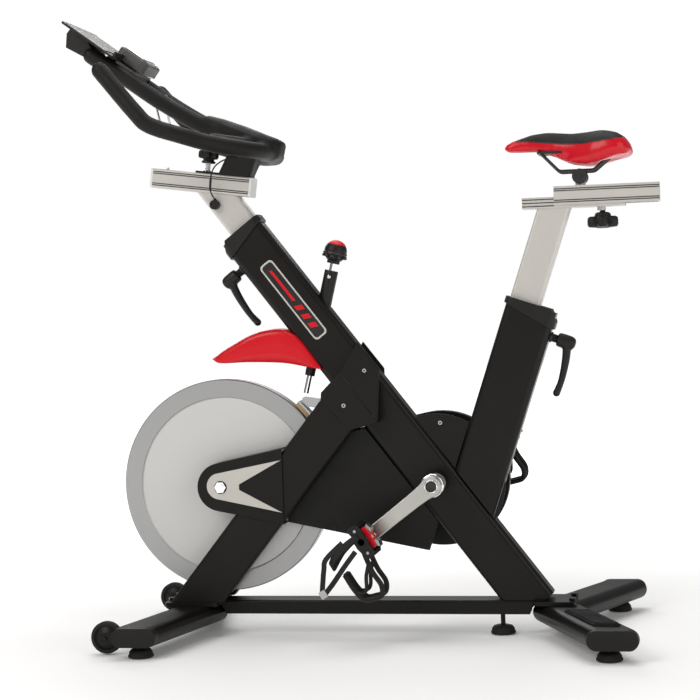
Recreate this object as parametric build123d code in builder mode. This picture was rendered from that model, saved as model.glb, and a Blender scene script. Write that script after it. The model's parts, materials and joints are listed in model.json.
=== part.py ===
from build123d import *
import os
from math import cos, pi, radians, sin, tan

# Indoor spin bike. Millimetres, +Z up, -X towards the handlebar, +X towards the saddle,
# +Y towards the belt drive. Distances along X are given from the crank axle; the origin is on
# the floor, below the middle of the bike's box.

# ---- driving dimensions ---------------------------------------------------------------
CRANK_X = 153.5          # crank axle from the origin
CRANK_Z = 333.0          # crank axle above the floor
CRANK_LENGTH = 170.0
CRANK_ANGLE = 217.4      # left crank at rest, from +X towards +Z
CRANK_MID_Y = 105.0      # middle of each crank arm
CRANK_THICK = 15.0

WHEEL_X = -473.0         # flywheel axle
WHEEL_Z = 332.0
WHEEL_R = 235.0
WHEEL_HALF = 17.5
WHEEL_RING_R = 196.0
AXLE_R = 8.0
CRANK_AXLE_R = 10.0

MAIN_ANGLE = 53.0        # main tube to the floor
MAIN_DEPTH = 100.0
MAIN_WIDTH = 60.0
MAIN_TOP = 698.0         # along the tube from the crank axle
SEAT_ANGLE = 71.2
SEAT_DEPTH = 110.0
SEAT_FOOT_X = 89.3       # seat tube's centre line at the height of the crank axle
SEAT_TOP = 395.0
LEG_ANGLE = 51.2
LEG_DEPTH = 95.0
LEG_WIDTH = 32.0
LEG_LENGTH = 680.0       # along the leg, before it is cut to the main tube
LEG_FOOT_X = -538.7      # leg's centre line at the height of the foot plate
LEG_TOP_OFFSET = -18.0   # cut plane of the legs, off the main tube's centre line
TUBE_CORNER = 13.0
TUBE_WALL = 2.5

FOOT_PLATE_Z = 68.0
FRAME_FOOT_Z = 77.0
BAR_HEIGHT = 31.0
BAR_WIDTH = 60.0
STAB_LOW = 25.0
STAB_HEIGHT = FOOT_PLATE_Z - STAB_LOW
FRONT_STAB = (-535.0, -605.0, 99.0)   # X at the middle, X at the ends, width along X
REAR_STAB = (250.0, 380.0, 106.0)
STAB_HALF = 290.0
CAP_DEPTH = 20.0
FOOT_Y = 272.0

POST_DEPTH = 68.0
POST_WIDTH = 40.0
BAR_POST_OFFSET = 12.0
SEAT_POST_OFFSET = -17.0
FIT = 0.05               # radial running clearance
GAP = 0.5                # clearance between shells and the tubes they pass

GUARD_R = 149.0
GUARD_NOSE_R = 53.0
PULLEY_R = 105.0
SPROCKET_R = 25.0
BELT_THICK = 3.0
BELT_GAP = 0.2           # between the belt and its pulleys
BELT_Y = (70.0, 86.0)
GUARD_Y = (63.0, 92.0)
SHELL = 3.0

SLIDER_TILT = 8.0        # handlebar slider, rising to the front
SLIDER_MID = (-506.0, 1004.0)
SLIDER_LENGTH = 222.0
SLIDER_HEIGHT = 43.0
SLIDER_WIDTH = 50.0
SLIDER_WALL = 3.0
STUD_X = -499.0          # clamp stud of the handlebar
BAR_R = 18.0

SEAT_RAIL = (202.0, 420.0, 914.0, 938.0)      # X from, X to, Z from, Z to
SEAT_SLIDER = (270.0, 492.0, 920.0, 960.0)
SADDLE_X = 326.0         # saddle clamp
TILT_Z = 979.0
SEAT_KNOB_X = 369.0

PEDAL_ANGLE = -59.0      # pedal's toe direction at rest
PEDAL_Y = 165.0
PEDAL_HALF = 45.0
PIN_R = 7.0

BRAKE_ANGLE = 76.0
BRAKE_POINT = (-229.0, 770.0)
BRAKE_PIVOT = (-240.0, 505.0)
CASTOR_X = -683.0
CASTOR_Z = 36.0
CASTOR_R = 34.0
CASTOR_Y = 245.0

os.makedirs("parts", exist_ok=True)


# ---- placing helpers -------------------------------------------------------------------
def at(x, z, y=0.0):
    """A point from its distance to the crank axle, its height and its side."""
    return Vector(CRANK_X + x, y, z)


def side(y):
    """Upright plane at a given Y: sketch x is distance from the crank, sketch y is height."""
    return Plane(origin=(CRANK_X, y, 0), x_dir=(1, 0, 0), z_dir=(0, -1, 0))


def along(angle, origin):
    """Plane across a tube that rises at an angle, with x to the tube's rear side."""
    turn = radians(angle)
    return Plane(origin=origin, x_dir=(sin(turn), 0, -cos(turn)), z_dir=(cos(turn), 0, sin(turn)))


MAIN = along(180 - MAIN_ANGLE, at(0, CRANK_Z))
SEAT = along(SEAT_ANGLE, at(SEAT_FOOT_X, CRANK_Z))
LEG = along(LEG_ANGLE, at(LEG_FOOT_X, FRAME_FOOT_Z))
LEG_CUT = Plane(origin=MAIN.origin + MAIN.x_dir * LEG_TOP_OFFSET, z_dir=MAIN.x_dir)
SLIDE = along(180 - SLIDER_TILT, at(*SLIDER_MID))
CRANK_PIN = (CRANK_LENGTH * cos(radians(CRANK_ANGLE)), CRANK_LENGTH * sin(radians(CRANK_ANGLE)))
BRAKE = along(BRAKE_ANGLE, at(*BRAKE_POINT))


def save(builder, name):
    """Label a finished piece and write its STEP file."""
    builder.part.label = name
    export_step(builder.part, f"parts/{name}.step")


def box_tube(plane, start, length, depth, width, corner, wall):
    """Hollow tube with rounded corners, added to the part that is open."""
    with BuildSketch(plane.offset(start)) as profile:
        RectangleRounded(depth, width, corner)
        RectangleRounded(depth - 2 * wall, width - 2 * wall, corner - wall, mode=Mode.SUBTRACT)
    extrude(profile.sketch, amount=length)


def cross_pin(x, z, radius, y_from, y_to, mode=Mode.ADD):
    """Round bar or hole along Y, in the part that is open."""
    with BuildSketch(side(y_to)) as profile:
        with Locations((x, z)):
            Circle(radius)
    extrude(profile.sketch, amount=y_to - y_from, mode=mode)


def cut_tube(plane, depth, width, reach=1400.0):
    """Clear the way of a tube through the part that is open."""
    with BuildSketch(plane.offset(-reach / 2)) as profile:
        Rectangle(depth + 2 * GAP, width + 2 * GAP)
    extrude(profile.sketch, amount=reach, mode=Mode.SUBTRACT)


def drive_outline(nose, big, inset=0.0):
    """Outline of the belt guard: a small round at the flywheel and a large one at the crank."""
    with Locations((WHEEL_X, WHEEL_Z)):
        Circle(nose - inset)
    with Locations((0, CRANK_Z)):
        Circle(big - inset)
    make_hull()


# ---- frame tubes ------------------------------------------------------------------------
with BuildPart() as main_tube:
    box_tube(MAIN, -340, MAIN_TOP + 340, MAIN_DEPTH, MAIN_WIDTH, TUBE_CORNER, TUBE_WALL)
    split(bisect_by=Plane(origin=(0, 0, FRAME_FOOT_Z)), keep=Keep.TOP)
    cross_pin(0, CRANK_Z, 25, -36, 36)
    cross_pin(0, CRANK_Z, 21, -36, 36, Mode.SUBTRACT)
    with BuildSketch(BRAKE.offset(-190)):
        Circle(10.5)
    extrude(amount=200, mode=Mode.SUBTRACT)
save(main_tube, "main_tube")

with BuildPart() as seat_tube:
    box_tube(SEAT, -200, SEAT_TOP + 200, SEAT_DEPTH, MAIN_WIDTH, TUBE_CORNER, TUBE_WALL)
    main_face = Plane(origin=at(0, CRANK_Z) + MAIN.x_dir * (MAIN_DEPTH / 2), z_dir=MAIN.x_dir)
    split(bisect_by=main_face, keep=Keep.TOP)
save(seat_tube, "seat_tube")



def leg_plane(leg_side):
    """Plane across one leg, at its foot."""
    middle = Vector(0, leg_side * (MAIN_WIDTH + LEG_WIDTH) / 2, 0)
    return Plane(origin=LEG.origin + middle, x_dir=LEG.x_dir, z_dir=LEG.z_dir)


for leg_side, name in ((-1, "left_leg"), (1, "right_leg")):
    middle_y = leg_side * (MAIN_WIDTH + LEG_WIDTH) / 2
    with BuildPart() as leg:
        box_tube(leg_plane(leg_side), -80, 80 + LEG_LENGTH, LEG_DEPTH, LEG_WIDTH, 8, TUBE_WALL)
        split(bisect_by=Plane(origin=(0, 0, FRAME_FOOT_Z)), keep=Keep.TOP)
        split(bisect_by=LEG_CUT, keep=Keep.BOTTOM)
        # dropout plate with the bearing housing of the flywheel's axle
        with BuildSketch(side(middle_y + 4)):
            with Locations((WHEEL_X, WHEEL_Z)):
                Circle(24)
            with Locations((WHEEL_X + 98, WHEEL_Z + 20)):
                Circle(12)
            with Locations((WHEEL_X + 78, WHEEL_Z - 36)):
                Circle(12)
            make_hull()
        extrude(amount=8)
        cross_pin(WHEEL_X, WHEEL_Z, 24, middle_y - 8, middle_y + 8)
        cross_pin(WHEEL_X, WHEEL_Z, 17, middle_y - 8, middle_y + 8, Mode.SUBTRACT)
    save(leg, name)

with BuildPart() as base_bar:
    bar_from = FRONT_STAB[0] + FRONT_STAB[2] / 2 - 4
    bar_to = REAR_STAB[0] - REAR_STAB[2] / 2 + 4
    bar_end = at(bar_from, FRAME_FOOT_Z - BAR_HEIGHT / 2)
    with BuildSketch(Plane(origin=bar_end, x_dir=(0, 1, 0), z_dir=(1, 0, 0))):
        RectangleRounded(BAR_WIDTH, BAR_HEIGHT, 5)
        RectangleRounded(BAR_WIDTH - 5, BAR_HEIGHT - 5, 3, mode=Mode.SUBTRACT)
    extrude(amount=bar_to - bar_from)
    for middle_x, end_x, width in (FRONT_STAB, REAR_STAB):
        with BuildSketch(side(STAB_HALF / 4)):
            with Locations((middle_x, STAB_LOW + STAB_HEIGHT / 2)):
                SlotOverall(width + 8, STAB_HEIGHT + 0.2)
        extrude(amount=STAB_HALF / 2, mode=Mode.SUBTRACT)
save(base_bar, "base_bar")


def stabiliser(shape, inset):
    """One V-shaped flat-oval arm pair, added to or cut from the part that is open."""
    middle_x, end_x, width = shape
    mode = Mode.ADD if inset == 0 else Mode.SUBTRACT
    for arm in (-1, 1):
        with BuildSketch(side(0)) as root:
            with Locations((middle_x, STAB_LOW + STAB_HEIGHT / 2)):
                SlotOverall(width - 2 * inset, STAB_HEIGHT - 2 * inset)
        with BuildSketch(side(arm * STAB_HALF)) as tip:
            with Locations((end_x, STAB_LOW + STAB_HEIGHT / 2)):
                SlotOverall(width - 2 * inset, STAB_HEIGHT - 2 * inset)
        loft([root.sketch, tip.sketch], mode=mode)


def foot_plate(x_from, x_to, half_y):
    """Flat plate on top of a stabiliser, which the frame's tubes stand on."""
    with BuildSketch(Plane.XY.offset(FOOT_PLATE_Z)) as profile:
        with Locations((CRANK_X + (x_from + x_to) / 2, 0)):
            RectangleRounded(x_to - x_from, 2 * half_y, 8)
    extrude(profile.sketch, amount=FRAME_FOOT_Z - FOOT_PLATE_Z)


with BuildPart() as front_stabiliser:
    stabiliser(FRONT_STAB, 0)
    stabiliser(FRONT_STAB, 2.5)
    foot_plate(-612, FRONT_STAB[0] + FRONT_STAB[2] / 2 - 5, 66)
    # fork plates of the transport wheels
    for y in (-CASTOR_Y, CASTOR_Y):
        for plate_y in (y - 14, y + 18):
            with BuildSketch(side(plate_y)):
                with Locations((CASTOR_X, CASTOR_Z)):
                    Circle(11)
                with Locations((CASTOR_X + 50, CASTOR_Z + 8)):
                    Circle(11)
                make_hull()
            extrude(amount=4)
        cross_pin(CASTOR_X, CASTOR_Z, 5, y - 21, y + 21)
save(front_stabiliser, "front_stabiliser")

with BuildPart() as rear_stabiliser:
    stabiliser(REAR_STAB, 0)
    stabiliser(REAR_STAB, 2.5)
    foot_plate(REAR_STAB[0] - REAR_STAB[2] / 2 + 5, 292, 50)
save(rear_stabiliser, "rear_stabiliser")

with BuildPart() as stabiliser_caps:
    for middle_x, end_x, width in (FRONT_STAB, REAR_STAB):
        for arm in (-1, 1):
            with BuildSketch(side(arm * STAB_HALF)):
                with Locations((end_x, STAB_LOW + STAB_HEIGHT / 2)):
                    SlotOverall(width, STAB_HEIGHT)
            extrude(amount=-arm * CAP_DEPTH, taper=4)
save(stabiliser_caps, "stabiliser_caps")

with BuildPart() as levelling_feet:
    feet = [(FRONT_STAB[0] + (FRONT_STAB[1] - FRONT_STAB[0]) * FOOT_Y / STAB_HALF, y, STAB_LOW)
            for y in (-FOOT_Y, FOOT_Y)]
    feet += [(REAR_STAB[0] + (REAR_STAB[1] - REAR_STAB[0]) * FOOT_Y / STAB_HALF, y, STAB_LOW)
             for y in (-FOOT_Y, FOOT_Y)]
    feet.append((132, 0, FRAME_FOOT_Z - BAR_HEIGHT))
    for foot_x, foot_y, top in feet:
        with BuildSketch(Plane(origin=at(foot_x, 0, foot_y), x_dir=(1, 0, 0), z_dir=(0, -1, 0))):
            with BuildLine():
                Polyline((0, 0), (22, 0), (22, 4), (19, 10), (9, 13), (9, 17), (5, 17), (5, top), (0, top),
                         close=True)
            make_face()
        revolve(axis=Axis(at(foot_x, 0, foot_y), (0, 0, 1)))
save(levelling_feet, "levelling_feet")

with BuildPart() as step_pads:
    for arm in (-1, 1):
        near, far = 112.0, 262.0
        slope = (REAR_STAB[1] - REAR_STAB[0]) / STAB_HALF
        corners = [(REAR_STAB[0] + slope * y + dx, arm * y)
                   for y, dx in ((near, -27), (near, 27), (far, 27), (far, -27))]
        with BuildSketch(Plane(origin=(CRANK_X, 0, FOOT_PLATE_Z))):
            with BuildLine():
                Polyline(*corners, close=True)
            make_face()
        extrude(amount=4)
save(step_pads, "step_pads")

# ---- collars at the tops of the tubes ---------------------------------------------------
def collar(plane, top, depth, post_offset, lever_side):
    """Moulded collar: a lip over the tube's end and a guide sleeve for the post inside it."""
    with BuildSketch(plane.offset(top - 34)) as lip:
        RectangleRounded(depth + 10, MAIN_WIDTH + 8, TUBE_CORNER + 4)
    extrude(lip.sketch, amount=40)
    rim = Plane(origin=plane.origin + plane.z_dir * (top - 22), x_dir=plane.y_dir,
                z_dir=plane.z_dir + plane.x_dir * (lever_side * 0.24))
    split(bisect_by=rim, keep=Keep.TOP)
    with BuildSketch(plane.offset(top - 50)) as socket:
        RectangleRounded(depth, MAIN_WIDTH, TUBE_CORNER)
    extrude(socket.sketch, amount=50, mode=Mode.SUBTRACT)
    with BuildSketch(plane.offset(top - 110)) as sleeve:
        RectangleRounded(depth - 2 * TUBE_WALL, MAIN_WIDTH - 2 * TUBE_WALL, TUBE_CORNER - TUBE_WALL)
    extrude(sleeve.sketch, amount=111)
    # slanted shoulder on the lever's side
    corner = plane.origin + plane.z_dir * (top + 6) + plane.x_dir * (lever_side * (depth / 2 - 13))
    shoulder = Plane(origin=corner, x_dir=plane.y_dir, z_dir=plane.z_dir * 0.75 + plane.x_dir * lever_side)
    split(bisect_by=shoulder, keep=Keep.BOTTOM)
    with BuildSketch(plane.offset(top - 120)) as way:
        with Locations((post_offset, 0)):
            RectangleRounded(POST_DEPTH + 2 * FIT, POST_WIDTH + 2 * FIT, 8 + FIT)
    extrude(way.sketch, amount=140, mode=Mode.SUBTRACT)


with BuildPart() as main_collar:
    collar(MAIN, MAIN_TOP, MAIN_DEPTH, BAR_POST_OFFSET, -1)
save(main_collar, "main_collar")

with BuildPart() as seat_collar:
    collar(SEAT, SEAT_TOP, SEAT_DEPTH, SEAT_POST_OFFSET, 1)
save(seat_collar, "seat_collar")

# ---- covers -----------------------------------------------------------------------------
COVER_OUTLINE = [(-163, 641), (-198, 578), (-241, 535), (-242, 519), (-180, 452), (-119, 467), (-117, 581)]
COVER_Y = 67.0           # outer face, where the cover lies over the leg
FOLD = Plane(origin=at(-198, 578, -COVER_Y), x_dir=(67, 0, -92.5), z_dir=(30.5, -76.9, 22.1))
with BuildPart() as leg_space:
    with BuildSketch(leg_plane(-1)):
        Rectangle(LEG_DEPTH, LEG_WIDTH)
    extrude(amount=LEG_LENGTH)
    split(bisect_by=LEG_CUT, keep=Keep.BOTTOM)

with BuildPart() as left_cover:
    with BuildSketch(side(-MAIN_WIDTH / 2)):
        with BuildLine():
            Polyline(*COVER_OUTLINE, close=True)
        make_face()
    extrude(amount=COVER_Y - MAIN_WIDTH / 2)
    # past the fold the outer face falls to the main tube's rear edge
    split(bisect_by=FOLD, keep=Keep.BOTTOM)
    add(leg_space.part, mode=Mode.SUBTRACT)
with BuildPart() as joint_covers:
    add(left_cover.part)
    add(mirror(left_cover.part, about=Plane.XZ, mode=Mode.PRIVATE))
save(joint_covers, "joint_covers")

with BuildPart() as hub_cover:
    with BuildSketch(side(-24)):
        drive_outline(GUARD_NOSE_R, GUARD_R)
    extrude(amount=42)
    with BuildSketch(side(-24)):
        drive_outline(GUARD_NOSE_R, GUARD_R, SHELL)
    extrude(amount=39, mode=Mode.SUBTRACT)
    split(bisect_by=Plane(origin=at(-333, 0), z_dir=(1, 0, 0)), keep=Keep.BOTTOM)
    with BuildSketch(leg_plane(-1)):
        Rectangle(LEG_DEPTH, LEG_WIDTH)
    extrude(amount=LEG_LENGTH, mode=Mode.SUBTRACT)
    cross_pin(WHEEL_X, WHEEL_Z, 10, -80, -20, Mode.SUBTRACT)
    cross_pin(-165, 409, 2.5, -40, -20, Mode.SUBTRACT)
save(hub_cover, "hub_cover")

with BuildPart() as guard_trims:
    for outer_y in (-66.0, GUARD_Y[1] + 1.5):
        with BuildSketch(side(outer_y)):
            with BuildLine():
                ThreePointArc((-483, 362), (-504, 334), (-481, 306))
                Polyline((-481, 306), (-335, 275), (-431, 326), (-431, 338), (-335, 390), (-483, 362))
            make_face()
        extrude(amount=1.5)
    cross_pin(WHEEL_X, WHEEL_Z, 14, -80, GUARD_Y[1] + 20, Mode.SUBTRACT)
save(guard_trims, "guard_trims")

with BuildPart() as guard_inner:
    with BuildSketch(side(-23)):
        drive_outline(GUARD_NOSE_R, GUARD_R)
    extrude(amount=SHELL)
    split(bisect_by=Plane(origin=at(-333, 0), z_dir=(1, 0, 0)), keep=Keep.TOP)
    cut_tube(MAIN, MAIN_DEPTH, MAIN_WIDTH)
    cut_tube(SEAT, SEAT_DEPTH, MAIN_WIDTH)
    cross_pin(0, CRANK_Z, 40, -60, 60, Mode.SUBTRACT)
    with BuildSketch(side(GUARD_Y[0] + 2)):
        drive_outline(GUARD_NOSE_R, GUARD_R)
    extrude(amount=2)
    cross_pin(0, CRANK_Z, 14, 30, 90, Mode.SUBTRACT)
    cross_pin(WHEEL_X, WHEEL_Z, 12, 30, 90, Mode.SUBTRACT)
save(guard_inner, "guard_inner")

with BuildPart() as guard_outer:
    with BuildSketch(side(GUARD_Y[1])):
        drive_outline(GUARD_NOSE_R, GUARD_R)
    extrude(amount=GUARD_Y[1] - GUARD_Y[0] - 2)
    with BuildSketch(side(GUARD_Y[1] - SHELL)):
        drive_outline(GUARD_NOSE_R, GUARD_R, SHELL)
    extrude(amount=GUARD_Y[1] - GUARD_Y[0], mode=Mode.SUBTRACT)
    cross_pin(0, CRANK_Z, 14, 60, 100, Mode.SUBTRACT)
    cross_pin(WHEEL_X, WHEEL_Z, 10, 60, 100, Mode.SUBTRACT)
save(guard_outer, "guard_outer")

with BuildPart() as fender:
    crown = [(-494, 612), (-473, 628), (-440, 646), (-406, 662), (-373, 672), (-340, 675), (-314, 668),
             (-289, 648), (-242, 585), (-278, 591), (-330, 600), (-408, 604), (-474, 603)]
    with BuildSketch(side(40)):
        with BuildLine():
            Polyline(*crown, close=True)
        make_face()
    extrude(amount=80)
    with BuildSketch(side(36)):
        with BuildLine():
            Polyline(*crown, close=True)
        make_face()
        offset(amount=-3.5)
    extrude(amount=72, mode=Mode.SUBTRACT)
    with BuildSketch(side(36)):
        with BuildLine():
            Polyline((-480, 570), (-462, 610), (-381, 610), (-287, 599), (-246, 594), (-240, 560),
                     close=True)
        make_face()
    extrude(amount=72, mode=Mode.SUBTRACT)
    cut_tube(MAIN, MAIN_DEPTH, MAIN_WIDTH)
    with BuildSketch(side(60)):
        with BuildLine():
            Polyline((-295, 700), (-180, 700), (-180, 540), (-208, 540), close=True)
        make_face()
    extrude(amount=120, mode=Mode.SUBTRACT)
    with BuildSketch(BRAKE.offset(-230)):
        Circle(13)
    extrude(amount=60, mode=Mode.SUBTRACT)
save(fender, "fender")

# ---- fasteners --------------------------------------------------------------------------
def screw_face():
    """Head of a socket screw, in the sketch that is open."""
    Circle(4.5)
    RegularPolygon(2.2, 6, mode=Mode.SUBTRACT)


with BuildPart() as fasteners:
    for screw_x, screw_z, face_y in ((-191, 506, -COVER_Y), (-228, 236, -26), (-17, 205, -26),
                                     (12, 462, -26)):
        with BuildSketch(side(face_y)):
            with Locations((screw_x, screw_z)):
                screw_face()
        extrude(amount=3)
    with BuildSketch(FOLD):
        with Locations((28.5, 45.7)):
            screw_face()
    extrude(amount=3)
    for bolt_x in (-604, 286):
        for bolt_y in (-30, 30):
            with BuildSketch(Plane(origin=at(bolt_x, FRAME_FOOT_Z, bolt_y))):
                RegularPolygon(8, 6)
            extrude(amount=6)
save(fasteners, "fasteners")

# ---- flywheel ----------------------------------------------------------------------------
def turned(points, x, z):
    """Turn an outline about a cross axis: points are (radius, Y)."""
    with BuildSketch(Plane(origin=at(x, z), x_dir=(1, 0, 0), z_dir=(0, 0, 1))) as profile:
        with BuildLine():
            Polyline(*points, close=True)
        make_face()
    revolve(profile.sketch, axis=Axis(at(x, z), (0, 1, 0)))


with BuildPart() as flywheel:
    ring = WHEEL_RING_R
    half = WHEEL_HALF
    turned([(AXLE_R, -20), (32, -20), (34, -half + 3), (ring - 3, -half + 3), (ring, -half),
            (WHEEL_R - 2, -half), (WHEEL_R, -half + 2), (WHEEL_R, half - 2), (WHEEL_R - 2, half),
            (ring, half), (ring - 8, -2), (40, -2), (32, 20), (AXLE_R, 20)], WHEEL_X, WHEEL_Z)
save(flywheel, "flywheel")

with BuildPart() as flywheel_axle:
    cross_pin(WHEEL_X, WHEEL_Z, AXLE_R, -74, 88)
    # nut on the threaded end
    with BuildSketch(side(-66)):
        with Locations((WHEEL_X, WHEEL_Z)):
            RegularPolygon(13, 6)
    extrude(amount=6)
save(flywheel_axle, "flywheel_axle")



def bearing(bore, outer, start_y, width, x, z):
    """One plain ring about a cross axis."""
    end_y = start_y + width
    turned([(bore + FIT, start_y), (outer, start_y), (outer, end_y), (bore + FIT, end_y)], x, z)


with BuildPart() as hub_bearings:
    for bearing_y in (-53, 39):
        bearing(AXLE_R, 17, bearing_y, 14, WHEEL_X, WHEEL_Z)
save(hub_bearings, "hub_bearings")

with BuildPart() as flywheel_sprocket:
    flange_y, groove_y, end_y = BELT_Y[0] - 2, BELT_Y[0] - 0.6, BELT_Y[1] + 0.6
    turned([(AXLE_R, flange_y), (SPROCKET_R + 2, flange_y), (SPROCKET_R + 2, groove_y),
            (SPROCKET_R, groove_y), (SPROCKET_R, end_y), (AXLE_R, end_y)], WHEEL_X, WHEEL_Z)
save(flywheel_sprocket, "flywheel_sprocket")

# ---- crank -------------------------------------------------------------------------------
with BuildPart() as crank_axle:
    cross_pin(0, CRANK_Z, CRANK_AXLE_R, -CRANK_MID_Y - 4, CRANK_MID_Y + 4)
save(crank_axle, "crank_axle")

with BuildPart() as crank_bearings:
    for bearing_y in (-38, 22):
        bearing(CRANK_AXLE_R, 21, bearing_y, 16, 0, CRANK_Z)
save(crank_bearings, "crank_bearings")

with BuildPart() as crank_pulley:
    web_y = BELT_Y[0] + 4
    turned([(CRANK_AXLE_R, flange_y), (PULLEY_R, flange_y), (PULLEY_R, end_y), (PULLEY_R - 8, end_y),
            (PULLEY_R - 8, web_y), (26, web_y), (26, BELT_Y[1]), (CRANK_AXLE_R, BELT_Y[1])], 0, CRANK_Z)
    with BuildSketch(side(BELT_Y[1])):
        with Locations((0, CRANK_Z)):
            with PolarLocations(62, 5):
                Circle(20)
    extrude(amount=30, mode=Mode.SUBTRACT)
save(crank_pulley, "crank_pulley")

with BuildPart() as drive_belt:
    with BuildSketch(side(BELT_Y[1])):
        drive_outline(SPROCKET_R, PULLEY_R, -BELT_THICK - BELT_GAP)
    extrude(amount=BELT_Y[1] - BELT_Y[0])
    with BuildSketch(side(BELT_Y[1])):
        drive_outline(SPROCKET_R, PULLEY_R, -BELT_GAP)
    extrude(amount=BELT_Y[1] - BELT_Y[0], mode=Mode.SUBTRACT)
save(drive_belt, "drive_belt")

for arm, name in ((-1, "left_crank"), (1, "right_crank")):
    pin_x = -arm * CRANK_PIN[0]
    pin_z = CRANK_Z - arm * CRANK_PIN[1]
    with BuildPart() as crank_arm:
        with BuildSketch(side(arm * CRANK_MID_Y + CRANK_THICK / 2)):
            with Locations((0, CRANK_Z)):
                Circle(21)
            with Locations((pin_x, pin_z)):
                Circle(15)
            make_hull()
        extrude(amount=CRANK_THICK)
        bore_y = (arm * CRANK_MID_Y - CRANK_THICK, arm * CRANK_MID_Y + CRANK_THICK)
        cross_pin(0, CRANK_Z, CRANK_AXLE_R, *bore_y, Mode.SUBTRACT)
        cross_pin(pin_x, pin_z, PIN_R, *bore_y, Mode.SUBTRACT)
    save(crank_arm, name)

with BuildPart() as pedal_pins:
    for arm in (-1, 1):
        pin_y = sorted((arm * (CRANK_MID_Y - 7), arm * (PEDAL_Y + PEDAL_HALF - 8)))
        cross_pin(-arm * CRANK_PIN[0], CRANK_Z - arm * CRANK_PIN[1], PIN_R, *pin_y)
save(pedal_pins, "pedal_pins")


# ---- pedals ------------------------------------------------------------------------------
def pedal_plane(arm, y):
    """Plane across a pedal: x towards the toe, y towards the foot."""
    toe = radians(PEDAL_ANGLE)
    middle = at(-arm * CRANK_PIN[0], CRANK_Z - arm * CRANK_PIN[1], y)
    return Plane(origin=middle, x_dir=(cos(toe), 0, sin(toe)), z_dir=(0, 1, 0))


CLIP_ROUTE = [(39.8, -9), (39.8, 7), (70, 9), (98, 12), (114, 26), (112, 60), (97, 77), (58, 84), (20, 84)]
STRAP_T = (14.0, 30.0)   # strap's edges, towards the toe from the pedal's axle
for arm, word in ((-1, "left"), (1, "right")):
    inner_y = arm * PEDAL_Y - PEDAL_HALF
    bore_from = inner_y + (5 if arm < 0 else -1)
    with BuildPart() as pedal:
        with BuildSketch(pedal_plane(arm, inner_y)):
            RectangleRounded(76, 24, 8)
        extrude(amount=2 * PEDAL_HALF)
        # windows either side of the axle's barrel
        for window_x in (-23, 23):
            with BuildSketch(pedal_plane(arm, inner_y + 9)):
                with Locations((window_x, 0)):
                    Rectangle(18, 40)
            extrude(amount=2 * PEDAL_HALF - 18, mode=Mode.SUBTRACT)
        with BuildSketch(pedal_plane(arm, bore_from)):
            Circle(PIN_R + FIT)
        extrude(amount=2 * PEDAL_HALF - 4, mode=Mode.SUBTRACT)
    save(pedal, f"{word}_pedal")

    with BuildPart() as toe_clip:
        with BuildSketch(pedal_plane(arm, arm * PEDAL_Y - 17)):
            with BuildLine() as clip_line:
                FilletPolyline(*CLIP_ROUTE, radius=5)
            trace(clip_line.line, line_width=3.2)
        extrude(amount=34)
        # strap round the pedal and the foot
        across = pedal_plane(arm, arm * PEDAL_Y)
        strap_edge = across.origin + across.x_dir * STRAP_T[0]
        strap = Plane(origin=strap_edge, x_dir=(0, -1, 0), z_dir=across.x_dir)
        with BuildSketch(strap):
            with Locations((0, 34.25)):
                RectangleRounded(97, 95.5, 3.5)
                RectangleRounded(94, 92.5, 2, mode=Mode.SUBTRACT)
        extrude(amount=STRAP_T[1] - STRAP_T[0])
    save(toe_clip, f"{word}_toe_clip")

# ---- brake -------------------------------------------------------------------------------
PAD_GAP = 2.5
PAD_ANGLE = 42.5
with BuildPart() as brake_guide:
    for start, length, radius in ((-60, 90, 15), (-206, 60, 11)):
        with BuildSketch(BRAKE.offset(start)):
            Circle(radius)
            Circle(6 + FIT, mode=Mode.SUBTRACT)
        extrude(amount=length)
    with BuildSketch(MAIN.offset(-340)):
        Rectangle(MAIN_DEPTH, MAIN_WIDTH)
    extrude(amount=1040, mode=Mode.SUBTRACT)
    cross_pin(*BRAKE_PIVOT, 5, -MAIN_WIDTH / 2, MAIN_WIDTH / 2)
save(brake_guide, "brake_guide")

with BuildPart() as brake_rod:
    with BuildSketch(BRAKE.offset(-246)):
        Circle(6)
    extrude(amount=312)
save(brake_rod, "brake_rod")

with BuildPart() as brake_knob:
    with Locations(BRAKE.offset(73)):
        Sphere(25)
    with BuildSketch(BRAKE.offset(46)):
        Circle(14)
    extrude(amount=16)
    with BuildSketch(BRAKE.offset(40)):
        Circle(6 + FIT)
    extrude(amount=26.2, mode=Mode.SUBTRACT)
save(brake_knob, "brake_knob")


def pad_segment(inner_r, outer_r, half_angle):
    """Face of a ring segment over the flywheel's rim, in the sketch that is open."""
    rim = [(WHEEL_X + r * cos(radians(PAD_ANGLE + turn)), WHEEL_Z + r * sin(radians(PAD_ANGLE + turn)))
           for r, turn in ((inner_r, -half_angle), (inner_r, 0), (inner_r, half_angle),
                           (outer_r, half_angle), (outer_r, 0), (outer_r, -half_angle))]
    with BuildLine() as edge:
        ThreePointArc(*rim[:3])
        Line(rim[2], rim[3])
        ThreePointArc(*rim[3:])
        Line(rim[5], rim[0])
    make_face(edge.line)


with BuildPart() as brake_pad:
    with BuildSketch(side(15)):
        pad_segment(WHEEL_R + PAD_GAP, WHEEL_R + PAD_GAP + 9, 4.5)
    extrude(amount=30)
save(brake_pad, "brake_pad")

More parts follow.
